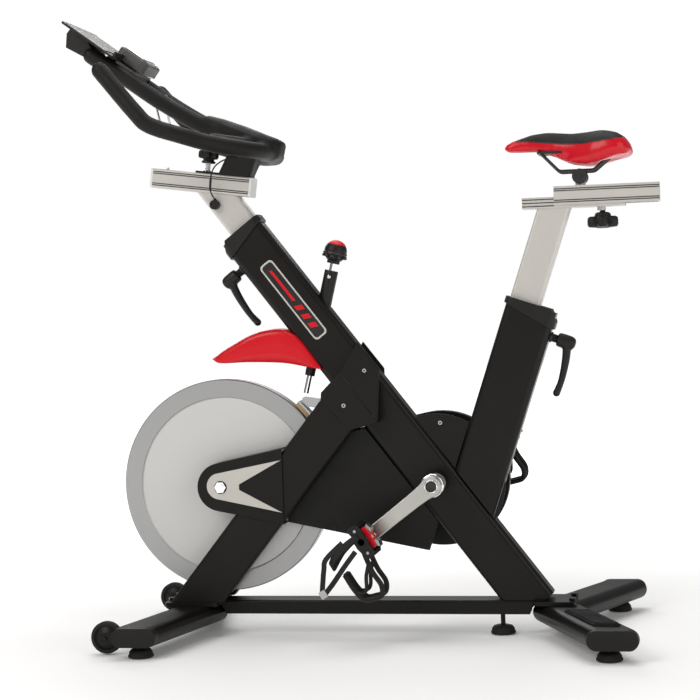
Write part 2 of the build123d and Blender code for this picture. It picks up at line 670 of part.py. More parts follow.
with BuildPart() as brake_arm:
    with BuildSketch(side(15)):
        pad_segment(WHEEL_R + PAD_GAP + 9, WHEEL_R + PAD_GAP + 13, 4.5)
    extrude(amount=30)
    with BuildSketch(side(7)):
        with Locations(BRAKE_PIVOT):
            Circle(11)
        with Locations((-290, 517)):
            Circle(7)
        with Locations((-292, 507)):
            Circle(4)
        make_hull()
    extrude(amount=14)
    with BuildSketch(side(7)):
        pad_segment(WHEEL_R + PAD_GAP, WHEEL_R + PAD_GAP + 9, 6)
    extrude(amount=14, mode=Mode.SUBTRACT)
    cross_pin(*BRAKE_PIVOT, 5 + FIT, -20, 20, Mode.SUBTRACT)
    with BuildSketch(BRAKE.offset(-246.4)):
        Circle(12)
    extrude(amount=30, mode=Mode.SUBTRACT)
save(brake_arm, "brake_arm")

# ---- transport wheels --------------------------------------------------------------------
for wheel_side, name in ((-1, "left_castor"), (1, "right_castor")):
    middle_y = wheel_side * CASTOR_Y
    with BuildPart() as castor:
        near_half = [(5 + FIT, -12), (12, -12), (13, -8), (25, -8), (26, -10), (31, -10), (CASTOR_R, -6)]
        far_half = [(radius, -y) for radius, y in reversed(near_half)]
        outline = [(radius, middle_y + y) for radius, y in near_half + far_half]
        turned(outline, CASTOR_X, CASTOR_Z)
    save(castor, name)

# ---- handlebar post and slider ------------------------------------------------------------
SLIDE_TOP = SLIDER_HEIGHT / 2
with BuildPart() as bar_post:
    post_foot = MAIN.origin + MAIN.x_dir * BAR_POST_OFFSET
    box_tube(Plane(origin=post_foot, x_dir=MAIN.x_dir, z_dir=MAIN.z_dir), 515, 340,
             POST_DEPTH, POST_WIDTH, 8, 3)
    under = Plane(origin=SLIDE.origin - SLIDE.x_dir * SLIDE_TOP, z_dir=SLIDE.x_dir)
    split(bisect_by=under, keep=Keep.BOTTOM)
    box_tube(SLIDE, -SLIDER_LENGTH / 2, SLIDER_LENGTH, SLIDER_HEIGHT, SLIDER_WIDTH, 5, SLIDER_WALL)
    with BuildSketch(SLIDE.offset(-105.5)):
        with Locations((SLIDE_TOP, 0)):
            Rectangle(8, 20)
    extrude(amount=177.5, mode=Mode.SUBTRACT)
save(bar_post, "bar_post")

with BuildPart() as slider_caps:
    for end in (-1, 1):
        with BuildSketch(SLIDE.offset(end * SLIDER_LENGTH / 2)):
            RectangleRounded(SLIDER_HEIGHT, SLIDER_WIDTH, 5)
        extrude(amount=end * 5)
        with BuildSketch(SLIDE.offset(end * SLIDER_LENGTH / 2)):
            RectangleRounded(SLIDER_HEIGHT - 2 * SLIDER_WALL, SLIDER_WIDTH - 2 * SLIDER_WALL, 2)
        extrude(amount=-end * 4)
save(slider_caps, "slider_caps")

# ---- handlebar ---------------------------------------------------------------------------
LEAD_R = 1.6
PLUG = (-474.0, 953.0)
LEAD_ROUTE = [(-424, -42, 1056), (-431, -52, 1052), (-448, -57, 1046), (-464, -57, 1035), (-473, -53, 1019),
              (-477, -46, 1001), (-480, -41, 984), (-477, -33, 972), (-474, -28, 966)]
lead_points = [at(x, z, y) for x, y, z in LEAD_ROUTE]
OUTER_HALF = [(-664, 213, 1236), (-586, 222, 1142), (-556, 222, 1114), (-490, 214, 1090), (-424, 180, 1070),
              (-368, 110, 1062), (-350, 40, 1062)]
with BuildPart() as outer_bar:
    right_side = [at(x, z, y) for x, y, z in OUTER_HALF]
    left_side = [at(x, z, -y) for x, y, z in OUTER_HALF]
    with BuildLine():
        FilletPolyline(*left_side, *reversed(right_side), radius=20)
    with BuildSketch(Plane(origin=left_side[0], z_dir=left_side[1] - left_side[0])):
        Circle(BAR_R)
    sweep()
save(outer_bar, "outer_bar")

INNER_ROUTE = [(-735, 62, 1291), (-662, 62, 1241), (-580, 60, 1182), (-497, 56, 1131), (-420, 50, 1098),
               (-356, 46, 1074)]
with BuildPart() as inner_bars:
    for bar_side in (-1, 1):
        route = [at(x, z, bar_side * y) for x, y, z in INNER_ROUTE]
        with BuildLine() as bar_line:
            FilletPolyline(*route, radius=60)
        with BuildSketch(Plane(origin=route[0], z_dir=route[1] - route[0])) as bar_ring:
            Circle(BAR_R)
        sweep(bar_ring.sketch, path=bar_line.line)
    # rest pad between the bars
    rest = Plane(origin=at(-408, 1106), x_dir=(0.93, 0, -0.37), z_dir=(0.37, 0, 0.93))
    with BuildSketch(rest):
        RectangleRounded(140, 104, 30)
    extrude(amount=12)
    add(outer_bar.part, mode=Mode.SUBTRACT)
save(inner_bars, "inner_bars")

with BuildPart() as bar_stem:
    with BuildSketch(Plane(origin=at(-436, 1006))):
        RectangleRounded(80, 44, 10)
    with BuildSketch(Plane(origin=at(-402, 1070))):
        RectangleRounded(70, 88, 18)
    loft()
    with BuildSketch(SLIDE.offset(-110)):
        with Locations((SLIDE_TOP + 2, 0)):
            Rectangle(4, 46)
    extrude(amount=124)
    on_top = Plane(origin=SLIDE.origin + SLIDE.x_dir * (SLIDE_TOP + 0.1), z_dir=SLIDE.x_dir)
    split(bisect_by=on_top, keep=Keep.TOP)
    inner_half = SLIDE_TOP - SLIDER_WALL - 0.1
    with BuildSketch(SLIDE.offset(-95)):
        with Locations((inner_half + 2, 0)):
            Rectangle(4, 19.8)
        RectangleRounded(2 * inner_half, SLIDER_WIDTH - 2 * SLIDER_WALL - 0.2, 3)
    extrude(amount=100)
    # gland for the sensor lead
    lead_way = (lead_points[1] - lead_points[0]).normalized()
    with BuildSketch(Plane(origin=lead_points[0] - lead_way * 10, z_dir=lead_way)):
        Circle(4.5)
    extrude(amount=10)
    add(inner_bars.part, mode=Mode.SUBTRACT)
    add(outer_bar.part, mode=Mode.SUBTRACT)
save(bar_stem, "bar_stem")

CAGE = along(102, at(-604, 1208))
CAGE_R = 38.0
CAGE_WIRE_R = 2.4
with BuildPart() as bottle_cage:
    for depth in (0, -34):
        level = CAGE.offset(depth)
        rim = level.origin + level.x_dir * CAGE_R
        with BuildSketch(Plane(origin=rim, x_dir=level.x_dir, z_dir=level.y_dir)) as wire:
            Circle(CAGE_WIRE_R)
        revolve(wire.sketch, axis=Axis(level.origin, level.z_dir))
    for wire_x, wire_y in ((1, 0), (0, 1)):
        across = CAGE.x_dir * wire_x + CAGE.y_dir * wire_y
        corners = [CAGE.origin + across * (sign * CAGE_R) + CAGE.z_dir * depth
                   for sign, depth in ((-1, 0), (-1, -84), (1, -84), (1, 0))]
        with BuildLine() as hoop:
            FilletPolyline(*corners, radius=12)
        with BuildSketch(Plane(origin=corners[0], z_dir=corners[1] - corners[0])) as wire:
            Circle(CAGE_WIRE_R)
        sweep(wire.sketch, path=hoop.line)
    for tab_side in (-1, 1):
        with BuildSketch(CAGE.offset(-4)) as tab:
            with Locations((0, tab_side * (CAGE_R + 4))):
                Rectangle(16, 8)
        extrude(tab.sketch, amount=4)
    add(inner_bars.part, mode=Mode.SUBTRACT)
save(bottle_cage, "bottle_cage")

TRAY = Plane(origin=at(-725, 1322), x_dir=(0.802, 0, -0.598), z_dir=(0.598, 0, 0.802))
TRAY_THICK = 5.0
TRAY_HALF = 74.0
CONSOLE_MID = 88.0       # console's middle down the tray's slope
with BuildPart() as console:
    with BuildSketch(TRAY):
        with Locations((CONSOLE_MID, 0)):
            RectangleRounded(78, 104, 16)
    extrude(amount=26)
    fillet(console.faces().sort_by(Axis(TRAY.origin, TRAY.z_dir))[-1].edges(), 6)
    # foot on the two inner bars, past the tray's lower edge
    with BuildSketch(TRAY):
        with Locations((TRAY_HALF + 0.2 + 18, 0)):
            Rectangle(36, 80)
    extrude(amount=-TRAY_THICK)
    with BuildSketch(TRAY.offset(-TRAY_THICK)):
        with Locations((CONSOLE_MID, 0)):
            RectangleRounded(50, 132, 8)
    extrude(amount=-16)
    add(inner_bars.part, mode=Mode.SUBTRACT)
save(console, "console")

with BuildPart() as tablet_tray:
    with BuildSketch(TRAY.offset(-TRAY_THICK)):
        RectangleRounded(2 * TRAY_HALF, 220, 12)
    extrude(amount=TRAY_THICK)
    # ledge that holds a tablet, either side of the console
    for ledge_y in (-81, 81):
        with BuildSketch(TRAY):
            with Locations((TRAY_HALF - 4, ledge_y)):
                Rectangle(5, 54)
        extrude(amount=12)
    # block under the upper edge, between the bar ends
    with BuildSketch(side(46)):
        with BuildLine():
            Polyline((-799, 1316), (-796, 1347), (-783, 1362), (-756, 1342), (-737, 1304), (-750, 1288),
                     close=True)
        make_face()
    extrude(amount=92)
    add(inner_bars.part, mode=Mode.SUBTRACT)
save(tablet_tray, "tablet_tray")


def star_knob(plane, radius, height, bore):
    """Clamp knob with five rounded lobes, standing on a plane, and its threaded stud."""
    with BuildSketch(plane) as head:
        Circle(radius * 0.72)
        with PolarLocations(radius * 0.66, 5):
            Circle(radius * 0.34)
    extrude(head.sketch, amount=height * 0.6)
    with BuildSketch(plane.offset(height * 0.6)) as hub:
        Circle(radius * 0.5)
    extrude(hub.sketch, amount=height * 0.4, taper=8)
    with BuildSketch(plane.offset(-bore)) as stud:
        Circle(5)
    extrude(stud.sketch, amount=bore)


with BuildPart() as bar_knob:
    stud_along = (STUD_X - SLIDER_MID[0]) / SLIDE.z_dir.X
    stud_foot = SLIDE.origin + SLIDE.z_dir * stud_along + SLIDE.x_dir * (SLIDE_TOP + 4.2)
    star_knob(Plane(origin=stud_foot + SLIDE.x_dir * 22, x_dir=SLIDE.z_dir, z_dir=SLIDE.x_dir), 23, 26, 22)
save(bar_knob, "bar_knob")

# ---- seat post, slider and saddle ----------------------------------------------------------
rail_from, rail_to, rail_low, rail_high = SEAT_RAIL
slide_from, slide_to, slide_low, slide_high = SEAT_SLIDER


def long_box(x_from, x_to, half_y, z_from, z_to, mode=Mode.ADD):
    """Straight box along X, in the part that is open."""
    with BuildSketch(Plane(origin=at(x_from, 0), x_dir=(0, 1, 0), z_dir=(1, 0, 0))) as profile:
        with Locations((0, (z_from + z_to) / 2)):
            Rectangle(2 * half_y, z_to - z_from)
    extrude(profile.sketch, amount=x_to - x_from, mode=mode)


with BuildPart() as seat_post:
    post_foot = SEAT.origin + SEAT.x_dir * SEAT_POST_OFFSET
    box_tube(Plane(origin=post_foot, x_dir=SEAT.x_dir, z_dir=SEAT.z_dir), 170, 480,
             POST_DEPTH, POST_WIDTH, 8, 3)
    split(bisect_by=Plane(origin=(0, 0, rail_low)), keep=Keep.BOTTOM)
    long_box(rail_from, rail_to, 21.9, rail_low, rail_high)
    long_box(rail_from - 1, rail_to + 1, 18.9, rail_low + 3, rail_high - 3, Mode.SUBTRACT)
    long_box(slide_from + 16, rail_to, 21.9, rail_high - 3, slide_high - 3.1)
    with BuildSketch(Plane(origin=at(SEAT_KNOB_X, rail_low - 8))):
        Circle(9)
    extrude(amount=11)
save(seat_post, "seat_post")

with BuildPart() as seat_slider:
    long_box(slide_from, slide_to, 25, slide_low, slide_high)
    long_box(slide_from - 1, slide_to - 4, 22, slide_low - 1, slide_high - 3, Mode.SUBTRACT)
    with BuildSketch(Plane(origin=at(SADDLE_X, slide_high))):
        Circle(11)
    extrude(amount=30)
    cross_pin(SADDLE_X, TILT_Z, 4 + FIT, -20, 20, Mode.SUBTRACT)
save(seat_slider, "seat_slider")

with BuildPart() as seat_knob:
    knob_top = Plane(origin=at(SEAT_KNOB_X, rail_low - 12), x_dir=(1, 0, 0), z_dir=(0, 0, -1))
    star_knob(knob_top, 33, 34, 3.8)
save(seat_knob, "seat_knob")

RAIL_ROUTE = [(246, 1030), (283, 991), (356, 991), (404, 1030)]
with BuildPart() as saddle_rails:
    for rail_y in (-22, 22):
        route = [at(x, z, rail_y) for x, z in RAIL_ROUTE]
        with BuildLine() as rail_line:
            FilletPolyline(*route, radius=14)
        with BuildSketch(Plane(origin=route[0], z_dir=route[1] - route[0])) as wire:
            Circle(3.5)
        sweep(wire.sketch, path=rail_line.line)
    long_box(238, 424, 32, 1029, 1034)
save(saddle_rails, "saddle_rails")

with BuildPart() as saddle_clamp:
    for cheek_y in ((-28, -11.4), (11.4, 28)):
        cross_pin(SADDLE_X, TILT_Z, 16, *cheek_y)
    cross_pin(SADDLE_X, TILT_Z, 4, -32, 32)
    for rail_y in (-22, 22):
        long_rail = Plane(origin=at(290, 991, rail_y), x_dir=(0, 1, 0), z_dir=(1, 0, 0))
        with BuildSketch(long_rail):
            Circle(3.5)
        extrude(amount=60, mode=Mode.SUBTRACT)
save(saddle_clamp, "saddle_clamp")

with BuildPart() as saddle_pad:
    with BuildSketch(side(82)):
        with BuildLine():
            Spline((165, 1043), (190, 1063), (226, 1073), (310, 1064), (372, 1068), (422, 1057),
                   (439, 1030))
            Spline((439, 1030), (420, 1006), (364, 994), (340, 994), (300, 1005), (216, 1033), (165, 1043))
        make_face()
    extrude(amount=164)
    with BuildSketch(Plane(origin=(CRANK_X, 0, 980))):
        with BuildLine():
            Spline((165, 0), (172, 17), (220, 26), (280, 36), (340, 66), (400, 80), (436, 62), (439, 0))
            Line((439, 0), (165, 0))
        make_face()
        mirror(about=Plane.XZ)
    extrude(amount=110, mode=Mode.INTERSECT)
    long_box(236, 426, 33, 960, 1034, Mode.SUBTRACT)
save(saddle_pad, "saddle_pad")


# ---- clamp levers --------------------------------------------------------------------------
def clamp_lever(plane, pivot, face, way, tilt):
    """Ratchet lever: a screw out of the tube's face, a round head and a tapered arm."""
    out = plane.x_dir * way
    foot = plane.origin + plane.z_dir * pivot + out * (face + 0.4)
    with BuildSketch(Plane(origin=foot, z_dir=out)) as neck:
        Circle(7)
    extrude(neck.sketch, amount=18)
    with BuildSketch(Plane(origin=foot + out * 16, z_dir=out)) as head:
        Circle(14)
    extrude(head.sketch, amount=38, taper=3)
    down = plane.z_dir * -1
    arm_from = foot + out * 43
    with BuildSketch(Plane(origin=arm_from, x_dir=out, z_dir=down)) as root:
        RectangleRounded(20, 24, 8)
    with BuildSketch(Plane(origin=arm_from + down * 112 + out * tilt, x_dir=out, z_dir=down)) as tip:
        RectangleRounded(12, 16, 5)
    loft([root.sketch, tip.sketch])


with BuildPart() as bar_lever:
    clamp_lever(MAIN, 633, MAIN_DEPTH / 2, -1, 6)
save(bar_lever, "bar_lever")

with BuildPart() as seat_lever:
    clamp_lever(SEAT, 343, SEAT_DEPTH / 2, 1, 4)
save(seat_lever, "seat_lever")

# ---- sensor lead ---------------------------------------------------------------------------
def bend_radii(points):
    """Largest arc at each corner of a route that its two runs leave room for."""
    radii = []
    for before, corner, after in zip(points, points[1:], points[2:]):
        first = corner - before
        second = after - corner
        shorter = min(first.length, second.length)
        radii.append(0.45 * shorter / tan(radians(first.get_angle(second)) / 2))
    return radii


with BuildPart() as cable_plug:
    cross_pin(*PLUG, 10.5, -34, -POST_WIDTH / 2)
    plug_way = (lead_points[-2] - lead_points[-1]).normalized()
    with BuildSketch(Plane(origin=lead_points[-1] - plug_way * 7, z_dir=plug_way)):
        Circle(3)
    extrude(amount=7)
save(cable_plug, "cable_plug")

with BuildPart() as sensor_cable:
    lead_radii = bend_radii(lead_points)
    with BuildLine() as lead_line:
        FilletPolyline(*lead_points, radius=lead_radii)
    with BuildSketch(Plane(origin=lead_points[0], z_dir=lead_points[1] - lead_points[0])) as lead_ring:
        Circle(LEAD_R)
    sweep(lead_ring.sketch, path=lead_line.line)
save(sensor_cable, "sensor_cable")
lead_length = lead_line.wires()[0].length
lead_fill = sensor_cable.part.volume / (pi * LEAD_R ** 2 * lead_length)
print("lead length", round(lead_length, 1), "volume against section x length", round(lead_fill, 4))
print("lead bend radii", [round(r, 1) for r in lead_radii])
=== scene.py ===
import json
from math import cos, pi, radians, sin

import bmesh
import bpy
from mathutils import Matrix, Vector


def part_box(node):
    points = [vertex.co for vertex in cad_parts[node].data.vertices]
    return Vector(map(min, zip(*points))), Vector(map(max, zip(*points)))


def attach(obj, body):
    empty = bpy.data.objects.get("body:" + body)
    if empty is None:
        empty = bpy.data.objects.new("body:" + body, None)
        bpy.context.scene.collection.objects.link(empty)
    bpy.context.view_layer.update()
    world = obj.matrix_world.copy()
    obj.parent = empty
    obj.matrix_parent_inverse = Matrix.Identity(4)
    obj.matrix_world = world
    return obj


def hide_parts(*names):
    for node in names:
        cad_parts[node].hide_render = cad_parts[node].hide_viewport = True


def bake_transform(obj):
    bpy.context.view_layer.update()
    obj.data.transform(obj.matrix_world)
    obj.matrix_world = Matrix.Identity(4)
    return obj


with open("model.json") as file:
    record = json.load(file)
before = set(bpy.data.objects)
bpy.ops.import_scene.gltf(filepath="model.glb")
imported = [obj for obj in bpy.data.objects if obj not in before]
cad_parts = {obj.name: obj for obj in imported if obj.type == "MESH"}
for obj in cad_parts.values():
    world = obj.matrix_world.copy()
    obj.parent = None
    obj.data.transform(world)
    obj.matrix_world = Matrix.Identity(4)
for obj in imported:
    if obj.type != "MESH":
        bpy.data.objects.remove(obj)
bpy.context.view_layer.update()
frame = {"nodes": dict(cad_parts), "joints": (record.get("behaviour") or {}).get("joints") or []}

# Indoor spin bike. Metres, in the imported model's frame: +Z up, -X to the handlebar, +Y to the
# belt drive. Distances written in millimetres along X are from the crank axle, as in the CAD.

nodes = frame["nodes"]
joints = {joint["name"]: joint for joint in frame["joints"]}
CRANK = Vector(joints["crank_spin"]["pos_m"])
WHEEL = Vector(joints["flywheel_spin"]["pos_m"])


def at(x, z, y=0.0):
    """A point from its distance to the crank axle, its height and its side, in millimetres."""
    return Vector((CRANK.x + x / 1000, y / 1000, z / 1000))


def mm(value):
    """Millimetres as metres."""
    return value / 1000


# ---- camera ---------------------------------------------------------------------------------
def add_camera():
    """The photograph's viewpoint: a long lens, a little behind the crank and almost level."""
    yaw, pitch, roll = radians(11.23), radians(-1.65), radians(-1.92)
    look = Vector((-sin(yaw) * cos(pitch), cos(yaw) * cos(pitch), sin(pitch)))
    right = Vector((cos(yaw), sin(yaw), 0))
    up = right.cross(look)
    x_axis = right * cos(roll) + up * sin(roll)
    y_axis = up * cos(roll) - right * sin(roll)
    data = bpy.data.cameras.new("camera")
    data.lens = 87.9
    data.sensor_width = 36
    camera = bpy.data.objects.new("camera", data)
    bpy.context.scene.collection.objects.link(camera)
    turn = Matrix((x_axis, y_axis, -look)).transposed()
    camera.matrix_world = Matrix.Translation(at(543.8, 731.7, -3678.0)) @ turn.to_4x4()
    bpy.context.scene.camera = camera


add_camera()

# ---- mesh helpers ---------------------------------------------------------------------------
def new_object(name, mesh, body, materials):
    """A mesh object with its materials, riding on a CAD body."""
    piece = bpy.data.objects.new(name, mesh)
    bpy.context.scene.collection.objects.link(piece)
    for material in materials:
        mesh.materials.append(material)
    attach(piece, body)
    return piece


def from_bmesh(name, bm, body, materials, smooth=True):
    """Turn a bmesh into an object."""
    bmesh.ops.recalc_face_normals(bm, faces=bm.faces)
    mesh = bpy.data.meshes.new(name)
    bm.to_mesh(mesh)
    bm.free()
    if smooth:
        for face in mesh.polygons:
            face.use_smooth = True
    return new_object(name, mesh, body, materials)


def apply_modifiers(piece):
    """Swap an object's mesh for the result of its modifiers."""
    bpy.context.view_layer.update()
    graph = bpy.context.evaluated_depsgraph_get()
    mesh = bpy.data.meshes.new_from_object(piece.evaluated_get(graph))
    piece.modifiers.clear()
    piece.data = mesh
    return piece


def bevel(piece, width, segments=2, angle=35):
    """Round the sharp edges of a piece."""
    modifier = piece.modifiers.new("edges", "BEVEL")
    modifier.width = width
    modifier.segments = segments
    modifier.limit_method = "ANGLE"
    modifier.angle_limit = radians(angle)
    modifier.harden_normals = True
    return piece


def subdivide(piece, levels):
    """Add a subdivision surface."""
    modifier = piece.modifiers.new("subdivision", "SUBSURF")
    modifier.levels = levels
    modifier.render_levels = levels
    return piece


# ---- materials ------------------------------------------------------------------------------
class Shader:
    """A node material: a Principled shader, and short ways to feed it textures."""

    def __init__(self, name, color, roughness, metallic=0.0, **sockets):
        self.material = bpy.data.materials.new(name)
        self.material.use_nodes = True
        self.tree = self.material.node_tree
        self.shader = self.tree.nodes["Principled BSDF"]
        self.shader.inputs["Base Color"].default_value = (*color, 1)
        self.shader.inputs["Roughness"].default_value = roughness
        self.shader.inputs["Metallic"].default_value = metallic
        for socket, value in sockets.items():
            self.shader.inputs[socket.replace("_", " ")].default_value = value
        self.color = color
        self.roughness = roughness
        self.coordinates = self.tree.nodes.new("ShaderNodeTexCoord").outputs["Object"]
        self.height = None

    def node(self, kind, **values):
        """A node with properties or input defaults set by name."""
        made = self.tree.nodes.new(kind)
        for key, value in values.items():
            if hasattr(made, key) and key not in made.inputs:
                setattr(made, key, value)
            else:
                made.inputs[key.replace("_", " ")].default_value = value
        return made

    def link(self, output, target):
        self.tree.links.new(output, target)

    def stretched(self, scale, turn=(0, 0, 0)):
        """Object coordinates, scaled unevenly and turned."""
        mapping = self.node("ShaderNodeMapping")
        mapping.inputs["Scale"].default_value = scale
        mapping.inputs["Rotation"].default_value = turn
        self.link(self.coordinates, mapping.inputs["Vector"])
        return mapping.outputs["Vector"]

    def noise(self, scale, detail=3.0, vector=None, roughness=0.5):
        """Noise from 0 to 1."""
        made = self.node("ShaderNodeTexNoise", Scale=scale, Detail=detail, Roughness=roughness)
        self.link(vector or self.coordinates, made.inputs["Vector"])
        return made.outputs["Fac"]

    def cells(self, scale, vector=None, feature="F1"):
        """Distance in a pattern of cells."""
        made = self.node("ShaderNodeTexVoronoi", Scale=scale)
        made.feature = feature
        self.link(vector or self.coordinates, made.inputs["Vector"])
        return made.outputs["Distance"]

    def ranged(self, value, low, high, from_low=0.3, from_high=0.7):
        """A value mapped to a range."""
        made = self.node("ShaderNodeMapRange")
        for key, number in (("From Min", from_low), ("From Max", from_high), ("To Min", low),
                            ("To Max", high)):
            made.inputs[key].default_value = number
        self.link(value, made.inputs["Value"])
        return made.outputs["Result"]

    def math(self, operation, first, second=None):
        """One arithmetic step on sockets or numbers."""
        made = self.node("ShaderNodeMath")
        made.operation = operation
        for index, value in enumerate((first, second)):
            if value is None:
                continue
            if isinstance(value, (int, float)):
                made.inputs[index].default_value = value
            else:
                self.link(value, made.inputs[index])
        return made.outputs["Value"]

    def mix(self, factor, first, second):
        """Mix two colours by a factor socket."""
        made = self.node("ShaderNodeMix")
        made.data_type = "RGBA"
        self.link(factor, made.inputs["Factor"])
        for socket, value in ((made.inputs[6], first), (made.inputs[7], second)):
            if isinstance(value, tuple):
                socket.default_value = (*value, 1)
            else:
                self.link(value, socket)
        return made.outputs[2]

    def tint(self, factor, spread):
        """Vary the base colour lighter and darker by a factor socket."""
        low = tuple(max(0.0, part * (1 - spread)) for part in self.color)
        high = tuple(min(1.0, part * (1 + spread)) for part in self.color)
        self.link(self.mix(factor, low, high), self.shader.inputs["Base Color"])
        return self

    def rough(self, factor, spread):
        """Vary the roughness by a factor socket."""
        low = max(0.02, self.roughness - spread)
        high = min(1.0, self.roughness + spread)
        self.link(self.ranged(factor, low, high), self.shader.inputs["Roughness"])
        return self

    def bump(self, height, distance, strength=1.0):
        """Add a relief, on top of any that is already there."""
        made = self.node("ShaderNodeBump", Distance=distance, Strength=strength)
        self.link(height, made.inputs["Height"])
        if self.height is not None:
            self.link(self.height, made.inputs["Normal"])
        self.height = made.outputs["Normal"]
        self.link(self.height, self.shader.inputs["Normal"])
        return self


def powder_coat(name, color, roughness):
    """Powder coating: a fine orange peel and faint dust in the gloss."""
    made = Shader(name, color, roughness, Specular_IOR_Level=0.22)
    made.rough(made.noise(9, 4), 0.05).tint(made.noise(14, 5), 0.25)
    made.bump(made.noise(1100, 2), 0.00005).bump(made.noise(260, 2), 0.00006)
    return made.material


def moulded(name, color, roughness, grain=1600.0, depth=0.00006, **sockets):
    """Moulded plastic with a fine spark-eroded grain."""
    made = Shader(name, color, roughness, **sockets)
    made.rough(made.noise(22, 4), 0.06).tint(made.noise(30, 3), 0.12)
    made.bump(made.cells(grain), depth).bump(made.noise(500, 3), depth / 2)
    return made.material


def gloss(name, color, roughness):
    """Glossy moulded plastic with very slight waviness."""
    made = Shader(name, color, roughness, Coat_Weight=0.06, Coat_Roughness=0.12, Specular_IOR_Level=0.25)
    made.rough(made.noise(18, 5), 0.05).tint(made.noise(7, 3), 0.08)
    made.bump(made.noise(60, 2), 0.0001, 0.4).bump(made.noise(900, 2), 0.00002)
    return made.material


def satin_silver(name, color, roughness, turn):
    """Silver paint over drawn tube, with faint lines along it."""
    made = Shader(name, color, roughness, 0.25, Coat_Weight=0.2, Coat_Roughness=0.25)
    lines = made.noise(260, 4, made.stretched((1, 1, 0.03), (0, turn, 0)))
    made.rough(lines, 0.06).tint(made.noise(12, 4), 0.05)
    made.bump(lines, 0.00004).bump(made.noise(1400, 2), 0.00002)
    return made.material


def turned_steel(name, color, roughness, bright=0.0):
    """Machined or plated steel with fine tool marks."""
    made = Shader(name, color, roughness, 1.0)
    marks = made.noise(1500, 4, made.stretched((1, 0.2, 1)))
    made.rough(made.noise(40, 4), 0.05).tint(made.noise(12, 3), 0.03)
    made.bump(marks, 0.00002 * (1 - bright) + 0.000004)
    return made.material


def soft_rubber(name, color, roughness):
    """Matt rubber with a pebbled skin."""
    made = Shader(name, color, roughness, Specular_IOR_Level=0.24)
    made.rough(made.noise(25, 4), 0.08).tint(made.noise(18, 4), 0.3)
    made.bump(made.cells(900), 0.00009).bump(made.noise(120, 3), 0.00008)
    return made.material


def wheel_finish():
    """Flywheel: a turned rim that is a shade darker than the lacquered face inside it."""
    made = Shader("flywheel_lacquer", (0.6, 0.6, 0.6), 0.3, 0.55, Coat_Weight=0.3, Coat_Roughness=0.15)
    shift = made.node("ShaderNodeVectorMath")
    shift.operation = "SUBTRACT"
    shift.inputs[1].default_value = WHEEL
    made.link(made.coordinates, shift.inputs[0])
    flat = made.node("ShaderNodeVectorMath")
    flat.operation = "MULTIPLY"
    flat.inputs[1].default_value = (1, 0, 1)
    made.link(shift.outputs["Vector"], flat.inputs[0])
    length = made.node("ShaderNodeVectorMath")
    length.operation = "LENGTH"
    made.link(flat.outputs["Vector"], length.inputs[0])
    radius = length.outputs["Value"]
    rim = made.ranged(radius, 0, 1, 0.1945, 0.1955)
    rings = made.node("ShaderNodeTexNoise")
    rings.noise_dimensions = "1D"
    rings.inputs["Scale"].default_value = 900
    rings.inputs["Detail"].default_value = 4
    made.link(radius, rings.inputs["W"])
    face = made.mix(made.noise(2, 2), (0.582, 0.577, 0.567), (0.596, 0.591, 0.581))
    metal = made.mix(rings.outputs["Fac"], (0.33, 0.33, 0.33), (0.45, 0.45, 0.45))
    made.link(made.mix(rim, face, metal), made.shader.inputs["Base Color"])
    made.link(made.ranged(rim, 0.15, 0.85, 0, 1), made.shader.inputs["Metallic"])
    made.link(made.ranged(made.noise(3, 2), 0.36, 0.40), made.shader.inputs["Roughness"])
    made.bump(rings.outputs["Fac"], 0.00004)
    return made.material


FASTENER_FADE = (0.44, 0.45)    # heights between which the fasteners turn from plated to black


def fastener_finish():
    """Fasteners: plated on the frame's upper parts, black oxide on the guards below."""
    made = Shader("fastener_steel", (0.48, 0.48, 0.485), 0.34, 1.0)
    split = made.node("ShaderNodeSeparateXYZ")
    made.link(made.coordinates, split.inputs[0])
    upper = made.ranged(split.outputs["Z"], 0, 1, *FASTENER_FADE)
    made.link(made.mix(upper, (0.03, 0.03, 0.03), (0.48, 0.48, 0.485)), made.shader.inputs["Base Color"])
    made.rough(made.noise(40, 4), 0.05).bump(made.noise(1500, 4), 0.00001)
    return made.material


def felt_finish():
    """Pressed felt: short fibres and a soft sheen."""
    made = Shader("felt", (0.42, 0.29, 0.14), 0.95, Sheen_Weight=0.5)
    fibres = made.noise(900, 6, made.stretched((1, 0.3, 1)))
    made.tint(fibres, 0.35).bump(fibres, 0.0004)
    return made.material


def vinyl(name, color, roughness, grain):
    """Upholstery vinyl with a leather-like grain."""
    made = Shader(name, color, roughness, Coat_Weight=0.15, Coat_Roughness=0.25)
    made.rough(made.noise(35, 4), 0.08).tint(made.noise(16, 4), 0.12)
    made.bump(made.cells(grain, feature="DISTANCE_TO_EDGE"), 0.00022, 0.8).bump(made.noise(900, 3), 0.00005)
    return made.material


BLACK_PAINT = powder_coat("black_paint", (0.0062, 0.0054, 0.0046), 0.36)
SILVER_MAIN = satin_silver("silver_bar_post", (0.54, 0.52, 0.485), 0.4, radians(37))
SILVER_SEAT = satin_silver("silver_seat_post", (0.54, 0.52, 0.485), 0.4, radians(-19))
SILVER_RAIL = satin_silver("silver_rail", (0.55, 0.53, 0.49), 0.38, radians(90))
BLACK_PLASTIC = moulded("black_plastic", (0.0085, 0.0078, 0.0072), 0.46, Specular_IOR_Level=0.28)
GUARD_PLASTIC = moulded("guard_plastic", (0.0065, 0.006, 0.0054), 0.42, 1300, 0.00005,
                        Specular_IOR_Level=0.22)
SMOOTH_BLACK = moulded("smooth_black", (0.009, 0.009, 0.009), 0.28, 900, 0.00002)
GREY_PLASTIC = moulded("grey_plastic", (0.20, 0.195, 0.19), 0.45)
PALE_PLASTIC = moulded("pale_plastic", (0.46, 0.455, 0.45), 0.5)
CONSOLE_GREY = moulded("console_grey", (0.055, 0.052, 0.05), 0.45)
# painted shade: a dark colour laid on the rails where the shadow inside their grooves would fall
RAIL_GROOVE_SHADE = moulded("groove_shadow", (0.03, 0.03, 0.03), 0.6)
